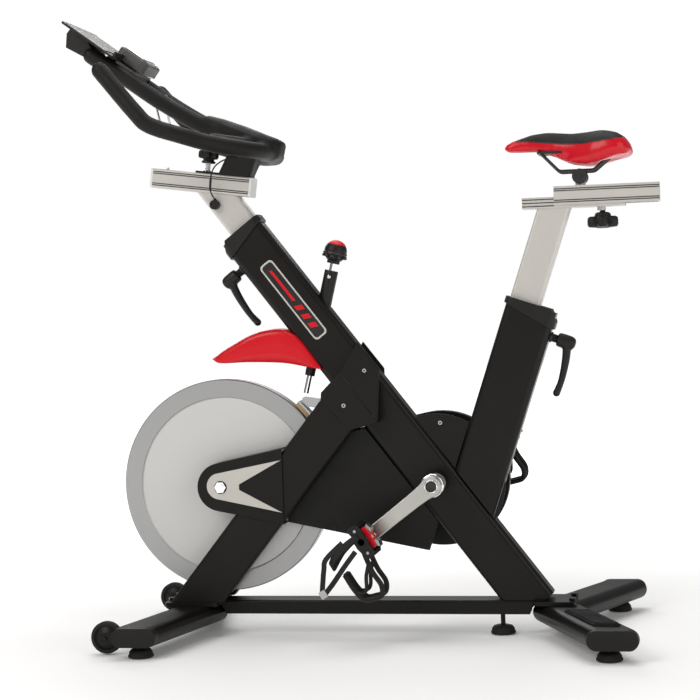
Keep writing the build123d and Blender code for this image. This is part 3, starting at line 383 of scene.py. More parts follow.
WHITE_PLASTIC = moulded("white_plastic", (0.7, 0.7, 0.68), 0.45)
RED_PLASTIC = gloss("red_plastic", (0.60, 0.006, 0.013), 0.32)
CHROME = turned_steel("bright_steel", (0.78, 0.78, 0.78), 0.14, 1.0)
WIRE = turned_steel("polished_wire", (0.93, 0.93, 0.92), 0.28, 1.0)
STEEL = turned_steel("plain_steel", (0.48, 0.48, 0.485), 0.34)
DARK_STEEL = turned_steel("dark_steel", (0.06, 0.06, 0.06), 0.4)
CRANK_ALLOY = turned_steel("crank_alloy", (0.50, 0.49, 0.46), 0.36)
RUBBER = soft_rubber("rubber", (0.017, 0.017, 0.017), 0.7)
GRIP = soft_rubber("grip_rubber", (0.0052, 0.0045, 0.004), 0.55)
LEAD = soft_rubber("lead_jacket", (0.012, 0.012, 0.012), 0.5)
FASTENER = fastener_finish()
FELT = felt_finish()
WHEEL_METAL = wheel_finish()
SADDLE_BLACK = vinyl("saddle_black", (0.017, 0.016, 0.016), 0.55, 520)

FINISH = {
    BLACK_PAINT: "main_tube seat_tube left_leg right_leg base_bar front_stabiliser rear_stabiliser",
    BLACK_PLASTIC: "stabiliser_caps main_collar seat_collar brake_guide bar_knob seat_knob crank_pulley "
                   "cable_plug bar_lever seat_lever left_pedal right_pedal left_toe_clip right_toe_clip "
                   "tablet_tray brake_knob",
    GUARD_PLASTIC: "joint_covers hub_cover guard_inner guard_outer",
    SILVER_MAIN: "bar_post",
    SILVER_SEAT: "seat_post",
    SILVER_RAIL: "seat_slider guard_trims",
    WHITE_PLASTIC: "slider_caps",
    CONSOLE_GREY: "console",
    RED_PLASTIC: "fender",
    CHROME: "flywheel_axle brake_rod",
    WIRE: "bottle_cage",
    FASTENER: "fasteners",
    STEEL: "hub_bearings crank_bearings flywheel_sprocket crank_axle pedal_pins brake_arm",
    DARK_STEEL: "saddle_clamp saddle_rails",
    CRANK_ALLOY: "left_crank right_crank",
    RUBBER: "levelling_feet step_pads left_castor right_castor drive_belt",
    GRIP: "outer_bar inner_bars bar_stem",
    LEAD: "sensor_cable",
    FELT: "brake_pad",
    WHEEL_METAL: "flywheel",
    SADDLE_BLACK: "saddle_pad",
}
EASED = {"joint_covers": 0.0028, "hub_cover": 0.0012, "guard_outer": 0.0018, "guard_inner": 0.0008,
         "stabiliser_caps": 0.003, "main_collar": 0.0018, "seat_collar": 0.0018, "tablet_tray": 0.001,
         "brake_arm": 0.0008, "guard_trims": 0.0005, "brake_guide": 0.0008}
for finish, names in FINISH.items():
    for name in names.split():
        node = nodes[name]
        node.data.materials.clear()
        node.data.materials.append(finish)
for name, width in EASED.items():
    weld = nodes[name].modifiers.new("weld", "WELD")
    weld.merge_threshold = 0.00002
    bevel(nodes[name], width, 3, 32)


# ---- stage and light ------------------------------------------------------------------------
def add_stage():
    """A wide pale floor that runs out into the white surroundings."""
    bm = bmesh.new()
    corners = [bm.verts.new((x, y, -0.0005)) for x, y in ((-14, -14), (14, -14), (14, 14), (-14, 14))]
    bm.faces.new(corners)
    mesh = bpy.data.meshes.new("floor")
    bm.to_mesh(mesh)
    bm.free()
    floor = bpy.data.objects.new("floor", mesh)
    bpy.context.scene.collection.objects.link(floor)
    made = Shader("floor_paper", (0.95, 0.95, 0.945), 0.8, Emission_Color=(1, 1, 1, 1))
    made.tint(made.noise(0.6, 3), 0.01)
    reach = made.node("ShaderNodeVectorMath")
    reach.operation = "LENGTH"
    made.link(made.coordinates, reach.inputs[0])
    # the lamps fade away from the bike, so the paper's own glow grows
    made.link(made.ranged(reach.outputs["Value"], 0.07, 1.0, 0.7, 4.0),
              made.shader.inputs["Emission Strength"])
    mesh.materials.append(made.material)


def add_dome():
    """White surroundings that only the camera sees, so that they put no glare on the black paint."""
    bm = bmesh.new()
    bmesh.ops.create_icosphere(bm, subdivisions=4, radius=16)
    mesh = bpy.data.meshes.new("surroundings")
    bm.to_mesh(mesh)
    bm.free()
    dome = bpy.data.objects.new("surroundings", mesh)
    bpy.context.scene.collection.objects.link(dome)
    made = Shader("surroundings_white", (0, 0, 0), 1.0, Emission_Color=(1, 1, 1, 1), Emission_Strength=1.0)
    mesh.materials.append(made.material)
    for ray in ("diffuse", "glossy", "transmission", "shadow", "volume_scatter"):
        setattr(dome, f"visible_{ray}", False)


def add_light(name, place, size, power, color=(1, 1, 1)):
    """A soft square lamp aimed at the bike."""
    data = bpy.data.lights.new(name, "AREA")
    data.shape = "RECTANGLE"
    data.size, data.size_y = size
    data.energy = power
    data.color = color
    lamp = bpy.data.objects.new(name, data)
    bpy.context.scene.collection.objects.link(lamp)
    lamp.location = place
    lamp.visible_camera = False
    lamp.rotation_euler = (Vector((0, 0, 0.6)) - lamp.location).to_track_quat("-Z", "Y").to_euler()


add_stage()
add_dome()
add_light("key_light", (-2.4, -3.2, 3.4), (2.4, 2.4), 92, (1, 0.975, 0.94))
add_light("fill_light", (3.2, -2.6, 1.9), (2.2, 2.8), 38, (1, 0.97, 0.93))
add_light("top_light", (0.1, 0.4, 4.2), (3.0, 2.6), 75)
add_light("back_light", (-1.2, 3.2, 2.6), (3.0, 2.0), 45)
world = bpy.data.worlds.new("studio")
world.use_nodes = True
world.node_tree.nodes["Background"].inputs["Color"].default_value = (1, 1, 1, 1)
world.node_tree.nodes["Background"].inputs["Strength"].default_value = 0.25
bpy.context.scene.world = world
bpy.context.scene.view_settings.view_transform = "Standard"

# ---- shapes ---------------------------------------------------------------------------------
def place(origin, x_axis, z_axis):
    """Matrix of a frame with its origin, x axis and z axis."""
    z_axis = Vector(z_axis).normalized()
    x_axis = (Vector(x_axis) - z_axis * Vector(x_axis).dot(z_axis)).normalized()
    y_axis = z_axis.cross(x_axis)
    return Matrix.Translation(origin) @ Matrix((x_axis, y_axis, z_axis)).transposed().to_4x4()


def slope(angle):
    """Direction in the side plane at an angle from +X towards +Z."""
    return Vector((cos(radians(angle)), 0, sin(radians(angle))))


def smooth_path(points, per_span=8):
    """A curve through the points (Catmull-Rom), as a list of vectors."""
    line = [Vector(p) for p in points]
    line = [2 * line[0] - line[1], *line, 2 * line[-1] - line[-2]]
    path = []
    for before, start, end, after in zip(line, line[1:], line[2:], line[3:]):
        for step in range(per_span):
            t = step / per_span
            path.append(0.5 * ((2 * start) + (end - before) * t
                               + (2 * before - 5 * start + 4 * end - after) * t * t
                               + (3 * start - 3 * end + after - before) * t ** 3))
    return path + [line[-2]]


def between(pairs, where):
    """Straight-line lookup in a list of (place, value) pairs."""
    for (low, first), (high, second) in zip(pairs, pairs[1:]):
        if where <= high:
            share = max(0.0, (where - low) / (high - low))
            return first + (second - first) * share
    return pairs[-1][1]


def add_tube(bm, path, radius, sides=16, flat=1.0, closed=False, hint=Vector((0, 1, 0))):
    """A tube of constant or varying radius along a path; flat squashes it across the hint."""
    count = len(path)
    rings = []
    for index, point in enumerate(path):
        ahead = path[(index + 1) % count] if closed or index + 1 < count else point
        behind = path[index - 1] if closed or index else point
        way = (ahead - behind).normalized()
        across = (hint - way * hint.dot(way)).normalized()
        up = way.cross(across)
        size = radius(index / (count - 1)) if callable(radius) else radius
        ring = [bm.verts.new(point + across * size * cos(a) + up * size * flat * sin(a))
                for a in (2 * pi * k / sides for k in range(sides))]
        rings.append(ring)
    pairs = list(zip(rings, rings[1:]))
    if closed:
        pairs.append((rings[-1], rings[0]))
    else:
        bm.faces.new(reversed(rings[0]))
        bm.faces.new(rings[-1])
    for low, high in pairs:
        for k in range(sides):
            bm.faces.new((low[k], low[(k + 1) % sides], high[(k + 1) % sides], high[k]))
    return bm


def add_ribbon(bm, path, width, thickness, across=Vector((0, 1, 0))):
    """A flat strap along a path, its width along the given direction."""
    rings = []
    for index, point in enumerate(path):
        ahead = path[min(index + 1, len(path) - 1)]
        behind = path[max(index - 1, 0)]
        way = (ahead - behind).normalized()
        out = way.cross(across).normalized() * thickness / 2
        side = across * width / 2
        rings.append([bm.verts.new(point + side * a + out * b) for a,
                      b in ((-1, -1), (1, -1), (1, 1), (-1, 1))])
    bm.faces.new(reversed(rings[0]))
    bm.faces.new(rings[-1])
    for low, high in zip(rings, rings[1:]):
        for k in range(4):
            bm.faces.new((low[k], low[(k + 1) % 4], high[(k + 1) % 4], high[k]))
    return bm


def add_lathe(bm, profile, frame_matrix, segments=32):
    """Turn (radius, height) points about the frame's z axis."""
    rings = []
    for radius, height in profile:
        if radius < 1e-6:
            rings.append([bm.verts.new(frame_matrix @ Vector((0, 0, height)))])
        else:
            rings.append([bm.verts.new(frame_matrix @ Vector((radius * cos(a), radius * sin(a), height)))
                          for a in (2 * pi * k / segments for k in range(segments))])
    for low, high in zip(rings, rings[1:]):
        for k in range(segments):
            after = (k + 1) % segments
            if len(low) == 1:
                bm.faces.new((low[0], high[after], high[k]))
            elif len(high) == 1:
                bm.faces.new((low[k], low[after], high[0]))
            else:
                bm.faces.new((low[k], low[after], high[after], high[k]))
    for ring, turn in ((rings[0], True), (rings[-1], False)):
        if len(ring) > 1:
            bm.faces.new(list(reversed(ring)) if turn else ring)
    return bm


def add_prism(bm, outline, low, high, frame_matrix):
    """A plate: an outline in the frame's x and y, between two heights."""
    rings = [[bm.verts.new(frame_matrix @ Vector((x, y, z))) for x, y in outline] for z in (low, high)]
    bm.faces.new(list(reversed(rings[0])))
    bm.faces.new(rings[1])
    count = len(outline)
    for k in range(count):
        bm.faces.new((rings[0][k], rings[0][(k + 1) % count], rings[1][(k + 1) % count], rings[1][k]))
    return bm


def rounded_box(half_x, half_y, radius, steps=5):
    """Outline of a rectangle with round corners."""
    points = []
    for corner, (sign_x, sign_y) in enumerate(((1, 1), (-1, 1), (-1, -1), (1, -1))):
        for step in range(steps + 1):
            a = pi / 2 * (corner + step / steps)
            points.append((sign_x * (half_x - radius) + radius * cos(a),
                           sign_y * (half_y - radius) + radius * sin(a)))
    return points


def regular(count, radius, turn=0.0):
    """Corners of a regular polygon."""
    return [(radius * cos(2 * pi * k / count + turn), radius * sin(2 * pi * k / count + turn))
            for k in range(count)]


def socket_screw(bm, frame_matrix, radius, height):
    """Button-head screw with a hexagon socket, standing on the frame's x-y plane."""
    add_lathe(bm, [(radius, 0), (radius, height * 0.45), (radius * 0.86, height * 0.8),
                   (radius * 0.6, height),
                   (radius * 0.45, height), (radius * 0.42, height * 0.5), (0, height * 0.5)], frame_matrix,
                   24)


MAIN_WAY = slope(127)
MAIN_OUT = Vector((sin(radians(127)), 0, -cos(radians(127))))
SEAT_WAY = slope(71.2)
SEAT_OUT = Vector((sin(radians(71.2)), 0, -cos(radians(71.2))))
SLIDE_WAY = slope(172)
SLIDE_UP = Vector((sin(radians(172)), 0, -cos(radians(172))))
BRAKE_WAY = slope(76)
TRAY_DOWN = Vector((0.802, 0, -0.598))
TRAY_UP = Vector((0.598, 0, 0.802))
NEAR = Vector((0, -1, 0))


# ---- sensor lead ----------------------------------------------------------------------------
def add_lead():
    """The console's lead: from the stem's side down to a plug on the post."""
    route = [(-424, -42, 1056), (-431, -52, 1052), (-448, -57, 1046), (-464, -57, 1035), (-473, -53, 1019),
             (-477, -46, 1001), (-480, -41, 984), (-477, -33, 972), (-474, -28, 966)]
    data = bpy.data.curves.new("sensor_lead_line", "CURVE")
    data.dimensions = "3D"
    spline = data.splines.new("NURBS")
    spline.points.add(len(route) - 1)
    for point, (x, y, z) in zip(spline.points, route):
        point.co = (*at(x, z, y), 1)
    spline.order_u = 3
    spline.use_endpoint_u = True
    spline.resolution_u = 8
    line = bpy.data.objects.new("sensor_lead_line", data)
    bpy.context.scene.collection.objects.link(line)
    bpy.context.view_layer.update()
    graph = bpy.context.evaluated_depsgraph_get()
    track = bpy.data.meshes.new_from_object(line.evaluated_get(graph))
    path = [v.co.copy() for v in track.vertices]
    bpy.data.objects.remove(line)
    bm = bmesh.new()
    add_tube(bm, path, 0.0016, 12)
    bmesh.ops.recalc_face_normals(bm, faces=bm.faces)
    mesh = bpy.data.meshes.new("sensor_lead")
    bm.to_mesh(mesh)
    bm.free()
    for face in mesh.polygons:
        face.use_smooth = True
    lead = bpy.data.objects.new("sensor_lead", mesh)
    bpy.context.scene.collection.objects.link(lead)
    mesh.materials.append(LEAD)
    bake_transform(lead)
    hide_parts("sensor_cable")
    # sleeve where the lead hangs straight
    bm = bmesh.new()
    middle = [p for p in path if at(0, 984).z < p.z < at(0, 1010).z]
    add_tube(bm, middle, 0.0026, 16)
    sleeve = from_bmesh("lead_sleeve", bm, "bar_post", [LEAD])
    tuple(path[0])


add_lead()


# ---- saddle ---------------------------------------------------------------------------------
SADDLE_TOP = [(165, 1052), (172, 1059), (190, 1064), (226, 1073), (268, 1070), (310, 1065), (345, 1066),
              (380, 1070),
              (405, 1067), (425, 1056), (437, 1040), (441, 1030)]
SADDLE_LOW = [(165, 1040), (172, 1035), (207, 1032), (242, 1029), (264, 1020), (290, 1008), (316, 996),
              (345, 991),
              (368, 992), (387, 998), (405, 1004), (428, 1012), (441, 1022)]
SADDLE_HALF = [(165, 12), (170, 18), (185, 22), (220, 26), (260, 30), (295, 40), (325, 56), (355, 71),
               (385, 80),
               (410, 81), (428, 73), (438, 58), (441, 44)]
RED_TOP = [(165, 1056), (182, 1059), (216, 1057), (254, 1053), (292, 1047.5), (331, 1045), (376, 1048),
           (406, 1052),
           (421, 1054), (432, 1048), (441, 1040)]
RED_LOW = [(165, 1036), (207, 1031), (242, 1027), (264, 1018), (290, 1005), (316, 993), (345, 989),
           (366, 990),
           (387, 998), (405, 1005), (428, 1011), (441, 1017)]


def saddle_section(x, sides=36):
    """One closed cross-section: crowned top with a shallow channel, full sides, hollow underside."""
    top, low, half = (between(pairs, x) for pairs in (SADDLE_TOP, SADDLE_LOW, SADDLE_HALF))
    rise = top - low
    ring = []
    for k in range(sides):
        a = 2 * pi * k / sides
        across, up = cos(a), sin(a)
        y = half * abs(across) ** 0.72 * (1 if across >= 0 else -1)
        if up >= 0:
            wide = min(1.0, half / 60)
            z = low + rise * (0.42 + 0.58 * abs(up) ** 0.62)
            z -= 3.5 * wide * max(0.0, 1 - (y / (0.22 * half + 4)) ** 2) * abs(up)
        else:
            roof = rise * 0.35 * max(0.0, 1 - (y / half) ** 2)
            z = low + rise * 0.42 * (1 - abs(up) ** 0.55) + roof * abs(up)
            y *= 0.97 - 0.06 * abs(up)
        ring.append(at(x, z, y))
    return ring


def saddle_cover():
    """Black vinyl on top, glossy red vinyl at the sides, and the moulded shell below."""
    made = Shader("saddle_cover", (0.017, 0.016, 0.016), 0.5, Specular_IOR_Level=0.3)
    split = made.node("ShaderNodeSeparateXYZ")
    made.link(made.coordinates, split.inputs[0])

    def above(pairs, soft):
        """1 where the surface is above a line along the saddle."""
        curve = made.node("ShaderNodeFloatCurve")
        low_x, high_x = at(160, 0).x, at(446, 0).x
        line = curve.mapping.curves[0]
        scaled = [((at(x, 0).x - low_x) / (high_x - low_x), (z - 980) / 120) for x, z in pairs]
        line.points[0].location = scaled[0]
        line.points[1].location = scaled[-1]
        for spot in scaled[1:-1]:
            line.points.new(*spot)
        curve.mapping.update()
        made.link(made.ranged(split.outputs["X"], 0, 1, low_x, high_x), curve.inputs["Value"])
        height = made.math("MULTIPLY_ADD", curve.outputs["Value"], 0.12)
        height.node.inputs[2].default_value = 0.98
        gap = made.math("SUBTRACT", split.outputs["Z"], height)
        return made.ranged(gap, 0, 1, -soft, soft)

    top = above(RED_TOP, 0.0004)
    side = above(RED_LOW, 0.0004)
    grain = made.noise(14, 4)
    red = made.mix(grain, (0.50, 0.003, 0.012), (0.58, 0.005, 0.016))
    black = made.mix(grain, (0.007, 0.0064, 0.006), (0.012, 0.011, 0.0105))
    made.link(made.mix(top, made.mix(side, black, red), black), made.shader.inputs["Base Color"])
    made.link(made.ranged(top, 0.26, 0.6, 0, 1), made.shader.inputs["Roughness"])
    pebble = made.math("MULTIPLY", made.cells(700, feature="DISTANCE_TO_EDGE"), top)
    made.bump(pebble, 0.0004).bump(made.noise(1100, 3), 0.00004)
    return made.material


def inflate(piece, cap, pressure=4.0, frames=20):
    """Cloth under pressure, with each point held near where it started, applied to the mesh."""
    start = [v.co.copy() for v in piece.data.vertices]
    cloth = piece.modifiers.new("padding", "CLOTH")
    settings = cloth.settings
    settings.use_pressure = True
    settings.uniform_pressure_force = pressure
    settings.effector_weights.gravity = 0
    settings.quality = 5
    settings.mass = 0.3
    settings.tension_stiffness = 40
    settings.compression_stiffness = 40
    settings.bending_stiffness = 4
    cloth.point_cache.frame_start = 1
    cloth.point_cache.frame_end = frames
    for frame_number in range(1, frames + 1):
        bpy.context.scene.frame_set(frame_number)
    graph = bpy.context.evaluated_depsgraph_get()
    result = bpy.data.meshes.new_from_object(piece.evaluated_get(graph))
    piece.modifiers.clear()
    bpy.context.scene.frame_set(1)
    for vertex, first, moved in zip(piece.data.vertices, start, result.vertices):
        shift = moved.co - first
        if shift.length > cap:
            shift *= cap / shift.length
        vertex.co = first + shift
    return piece


def add_saddle():
    """Padded saddle, simulated as stuffed vinyl, with a seam between its two colours."""
    bm = bmesh.new()
    stations = sorted({x for pairs in (SADDLE_TOP, SADDLE_LOW, SADDLE_HALF) for x, _ in pairs})
    stations += [(a + b) / 2 for a, b in zip(stations, stations[1:]) if b - a > 8]
    rings = [[bm.verts.new(p) for p in saddle_section(x)] for x in sorted(stations)]
    for low, high in zip(rings, rings[1:]):
        for k in range(len(low)):
            bm.faces.new((low[k], low[(k + 1) % len(low)], high[(k + 1) % len(low)], high[k]))
    bm.faces.new(list(reversed(rings[0])))
    bm.faces.new(rings[-1])
    saddle = from_bmesh("saddle", bm, "saddle", [saddle_cover()])
    remesh = saddle.modifiers.new("remesh", "REMESH")
    remesh.mode = "VOXEL"
    remesh.voxel_size = 0.005
    remesh.use_smooth_shade = True
    relax = saddle.modifiers.new("relax", "SMOOTH")
    relax.factor = 0.5
    relax.iterations = 8
    apply_modifiers(saddle)
    inflate(saddle, cap=0.006)
    subdivide(saddle, 1)
    apply_modifiers(saddle)
    for face in saddle.data.polygons:
        face.use_smooth = True
    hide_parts("saddle_pad")
    add_saddle_seam(saddle)


def add_saddle_seam(saddle):
    """Piping along the line where the black top meets the red sides."""
    graph = bpy.context.evaluated_depsgraph_get()
    body = saddle.evaluated_get(graph)
    inverse = saddle.matrix_world.inverted()
    bm = bmesh.new()
    for side in (-1, 1):
        path = []
        for x in range(176, 434, 4):
            far = inverse @ at(x, between(RED_TOP, x), side * 120)
            hit, spot, normal, _ = body.ray_cast(far, Vector((0, -side, 0)))
            if hit:
                path.append(saddle.matrix_world @ spot)
        add_tube(bm, smooth_path(path[::3], 4), 0.0011, 8)
    seam = from_bmesh("saddle_piping", bm, "saddle", [SMOOTH_BLACK])


add_saddle()

# ---- handlebar ------------------------------------------------------------------------------
BAR_R = 0.018
BAR_STAR = (0.0235, 0.026)      # radius and height of the bar knob's head
SEAT_STAR = (0.033, 0.034)
BAR_STAR_RISE = 0.022           # from the slider's top to the underside of that head
OUTER_HALF = [(-664, 213, 1236), (-586, 222, 1142), (-556, 222, 1114), (-490, 214, 1090), (-424, 180, 1070),
              (-368, 110, 1062), (-350, 40, 1062)]
INNER_ROUTE = [(-735, 62, 1291), (-662, 62, 1241), (-580, 60, 1182), (-497, 56, 1131), (-420, 50, 1098),
               (-356, 46, 1074)]
# rest pad between the bars: place along X, half width, top and underside
REST_PAD = [(-482, 66, 1150, 1122), (-450, 74, 1140, 1096), (-405, 74, 1122, 1064), (-365, 66, 1104, 1046),
            (-338, 48, 1093, 1042), (-322, 24, 1084, 1050)]
# stem below the pad: middle along X, height, half depth, half width
STEM = [(-437, 1010, 38, 21), (-434, 1022, 34, 20), (-420, 1044, 31, 24), (-404, 1066, 36, 40),
        (-398, 1078, 40, 52)]


def add_rings(bm, rings):
    """Join a list of equal rings of points into a closed skin."""
    made = [[bm.verts.new(point) for point in ring] for ring in rings]
    for low, high in zip(made, made[1:]):
        for k in range(len(low)):
            after = (k + 1) % len(low)
            bm.faces.new((low[k], low[after], high[after], high[k]))
    bm.faces.new(list(reversed(made[0])))
    bm.faces.new(made[-1])
    return bm


def soft_square(half_x, half_y, power=0.5, count=32):
    """A square with very round corners."""
    ring = []
    for k in range(count):
        a = 2 * pi * k / count
        x, y = cos(a), sin(a)
        ring.append((half_x * abs(x) ** power * (1 if x >= 0 else -1),
                     half_y * abs(y) ** power * (1 if y >= 0 else -1)))
    return ring


def fuse(piece, voxel, rounds):
    """Melt overlapping shapes into one skin and relax it."""
    remesh = piece.modifiers.new("fuse", "REMESH")
    remesh.mode = "VOXEL"
    remesh.voxel_size = voxel
    relax = piece.modifiers.new("relax", "SMOOTH")
    relax.factor = 0.5
    relax.iterations = rounds
    apply_modifiers(piece)
    for face in piece.data.polygons:
        face.use_smooth = True
    return piece


def add_end(bm, path, radius):
    """Rounded end on the first point of a tube's path."""
    out = path[0] - path[1]
    steps = [radians(a) for a in range(0, 90, 15)]
    profile = [(radius * cos(a), radius * sin(a)) for a in steps] + [(0, radius)]
    add_lathe(bm, profile, place(path[0], (0, 1, 0), out), 24)


def add_handlebar():
    """Dipped bars, rest pad and stem as one rubber skin."""
    bm = bmesh.new()
    outer = [at(x, z, -y) for x, y, z in OUTER_HALF] + [at(x, z, y) for x, y, z in reversed(OUTER_HALF)]
    path = smooth_path(outer, 10)
    add_tube(bm, path, BAR_R, 24, hint=Vector((0.3, 0, 1)))
    add_end(bm, path, BAR_R)
    add_end(bm, path[::-1], BAR_R)
    for side in (-1, 1):
        path = smooth_path([at(x, z, side * y) for x, y, z in INNER_ROUTE], 8)
        add_tube(bm, path, BAR_R, 24)
        add_end(bm, path, BAR_R)
        # web between the outer bar's bend and the pad
        web = smooth_path([at(-440, 1082, side * 176), at(-400, 1078, side * 120),
                           at(-385, 1078, side * 60)], 6)
        add_tube(bm, web, 0.015, 16)
    rings = []
    for x, half, top, low in REST_PAD:
        middle, rise = (top + low) / 2, (top - low) / 2
        rings.append([at(x, middle, 0) + Vector((b * 0.25, a, b)) for a,
                      b in soft_square(mm(half), mm(rise), 0.62)])
    add_rings(bm, rings)
    add_rings(bm, [[at(x, z) + Vector((a, b, 0)) for a, b in soft_square(mm(deep), mm(wide), 0.6)]
                   for x, z, deep, wide in STEM])
    skin = fuse(from_bmesh("handlebar_skin", bm, "handlebar", [GRIP]), 0.0038, 5)
    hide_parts("outer_bar", "inner_bars")


def add_bar_fittings():
    """Collar and threaded stud under the bar's knob, and the stop pin on its slider."""
    knob = joints["bar_knob_turn"]
    foot = Vector(knob["pos_m"])
    bm = bmesh.new()
    frame_matrix = place(foot, SLIDE_WAY, SLIDE_UP)
    for low in range(3, 18, 3):
        add_lathe(bm, [(0.0052, mm(low)), (0.0066, mm(low + 0.7)), (0.0066, mm(low + 1.5)),
                       (0.0052, mm(low + 2.2))],
                  frame_matrix, 24)
    add_lathe(bm, [(0.011, 0.0002), (0.011, 0.0016), (0.007, 0.0026), (0, 0.0026)], frame_matrix, 28)
    stud = from_bmesh("bar_knob_stud", bm, "bar_knob", [CHROME])
    bm = bmesh.new()
    add_lathe(bm, [(0.0135, 0.0185), (0.0155, 0.0195), (0.0155, 0.0235), (0.013, 0.0245)], frame_matrix, 36)
    collar = from_bmesh("bar_knob_collar", bm, "bar_knob", [SMOOTH_BLACK])
    bm = bmesh.new()
    pin = at(-506, 1004) + SLIDE_WAY * 0.085 + SLIDE_UP * 0.0214
    add_lathe(bm, [(0.0032, 0), (0.0032, 0.0052), (0.0024, 0.006), (0, 0.006)],
              place(pin, SLIDE_WAY, SLIDE_UP), 20)
    stop = from_bmesh("bar_stop_pin", bm, "bar_post", [CHROME])


def add_star_knob(name, frame_matrix, radius, height, stud):
    """Moulded clamp knob: five soft lobes melted into a hub, and the stud it turns on."""
    bm = bmesh.new()
    hub = [(0.36, 0), (0.5, 0.08), (0.55, 0.3), (0.66, 0.4), (0.68, 0.8), (0.5, 0.96), (0.3, 1), (0, 1)]
    lobe = [(0.22, 0.26), (0.35, 0.34), (0.38, 0.5), (0.38, 0.8), (0.3, 0.93), (0, 0.96)]
    add_lathe(bm, [(radius * r, height * h) for r, h in hub], frame_matrix, 40)
    for k in range(5):
        turn = Matrix.Rotation(2 * pi * k / 5 + 0.3, 4, "Z") @ Matrix.Translation((radius * 0.64, 0, 0))
        add_lathe(bm, [(radius * r, height * h) for r, h in lobe], frame_matrix @ turn, 24)
    if stud:
        add_lathe(bm, [(0.006, -stud), (0.006, height * 0.1)], frame_matrix, 20)
    knob = fuse(from_bmesh(f"{name}_star", bm, name, [BLACK_PLASTIC]), 0.0011, 3)
    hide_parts(name)


def add_rail_lines(name, body, middle, way, up, half_length, half_width, levels):
    """Dark strips along both sides of an extruded rail: painted shade standing in for the shadow down its
    grooves.
    """
    bm = bmesh.new()
    for level in levels:
        for side in (-1, 1):
            centre = middle + up * mm(level) + Vector((0, side * half_width, 0))
            add_prism(bm, rounded_box(half_length, 0.0011, 0.0005, 2), -0.0002, 0.0004,
                      place(centre, way, (0, side, 0)))
    # painted shade: these strips carry the groove shadow colour, not a real dark inlay
    lines = from_bmesh(name, bm, body, [RAIL_GROOVE_SHADE], smooth=False)


add_handlebar()
add_bar_fittings()
bar_stud = Vector(joints["bar_knob_turn"]["pos_m"])
add_star_knob("bar_knob", place(bar_stud + SLIDE_UP * BAR_STAR_RISE, SLIDE_WAY, SLIDE_UP), *BAR_STAR, 0)
knob_low, knob_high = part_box("seat_knob")
knob_top = Vector(((knob_low[0] + knob_high[0]) / 2, 0, knob_low[2] + SEAT_STAR[1]))
add_star_knob("seat_knob", place(knob_top, (1, 0, 0), (0, 0, -1)), *SEAT_STAR, knob_high[2] - knob_top.z)
add_rail_lines("bar_rail_lines", "bar_post", at(-506, 1004), SLIDE_WAY, SLIDE_UP, 0.1105, 0.025,
               (-15, -11, 11, 15))
add_rail_lines("seat_slider_lines", "seat_slider", at(381, 940), Vector((1, 0, 0)), Vector((0, 0, 1)),
               0.1105, 0.025,
               (-14, -10, 10, 14))
add_rail_lines("seat_rail_lines", "seat_post", at(236, 926), Vector((1, 0, 0)), Vector((0, 0, 1)), 0.034,
               0.0219,
               (-7, 0, 7))


# ---- console and tray ------------------------------------------------------------------------
def add_console():
    """Screen, bezel and buttons on the console, and the light face and ribs of the tablet tray."""
    top = place(at(-725, 1322) + TRAY_DOWN * 0.088 + TRAY_UP * 0.026, TRAY_DOWN, TRAY_UP)
    bm = bmesh.new()
    add_prism(bm, rounded_box(0.031, 0.044, 0.008), -0.0002, 0.0014, top)
    bezel = bevel(from_bmesh("console_bezel", bm, "handlebar", [SMOOTH_BLACK], smooth=False), 0.0006)
    glass = Shader("screen_glass", (0.11, 0.125, 0.115), 0.12, Coat_Weight=1.0, Coat_Roughness=0.03)
    glass.tint(glass.noise(16, 3), 0.12).bump(glass.noise(300, 2), 0.000008)
    bm = bmesh.new()
    screen_at = top @ Matrix.Translation((-0.008, 0, 0))
    add_prism(bm, rounded_box(0.018, 0.036, 0.003), 0.0012, 0.0019, screen_at)
    screen = from_bmesh("console_screen", bm, "handlebar", [glass.material], smooth=False)
    bm = bmesh.new()
    for y in (-0.027, -0.009, 0.009, 0.027):
        spot = top @ Matrix.Translation((0.0205, y, 0))
        add_prism(bm, rounded_box(0.0042, 0.0065, 0.003), 0.0010, 0.0030, spot)
    buttons = bevel(from_bmesh("console_buttons", bm, "handlebar", [GREY_PLASTIC], smooth=False), 0.0007)
    # tray face
    tray = place(at(-725, 1322), TRAY_DOWN, TRAY_UP)
    bm = bmesh.new()
    add_prism(bm, rounded_box(0.056, 0.098, 0.008), -0.0002, 0.0010,
              tray @ Matrix.Translation((-0.010, 0, 0)))
    face = bevel(from_bmesh("tray_face", bm, "handlebar", [PALE_PLASTIC], smooth=False), 0.0004)
    bm = bmesh.new()
    for y in range(-80, 81, 20):
        spot = tray @ Matrix.Translation((-0.012, mm(y), 0))
        add_prism(bm, rounded_box(0.050, 0.0016, 0.0015, 3), 0.0008, 0.0021, spot)
    for x in (-0.0655, 0.0455):
        add_prism(bm, rounded_box(0.0014, 0.098, 0.0013, 3), 0.0008, 0.0024,
                  tray @ Matrix.Translation((x, 0, 0)))
    ribs = from_bmesh("tray_ribs", bm, "handlebar", [PALE_PLASTIC], smooth=False)


add_console()


# ---- fender ---------------------------------------------------------------------------------
FENDER_TOP = [(-494, 612.6), (-473, 628), (-440, 646), (-406, 662.6), (-373, 672), (-340, 675), (-314, 668),
              (-289, 648), (-242.5, 584)]
FENDER_LOW = [(-494, 612), (-474, 603), (-408, 604), (-330, 600.7), (-278, 591), (-242.5, 583.8)]


def curve_of(pairs):
    """A smooth lookup through (place, value) pairs."""
    line = smooth_path([Vector((x, 0, z)) for x, z in pairs], 8)
    return [(point.x, point.z) for point in line]


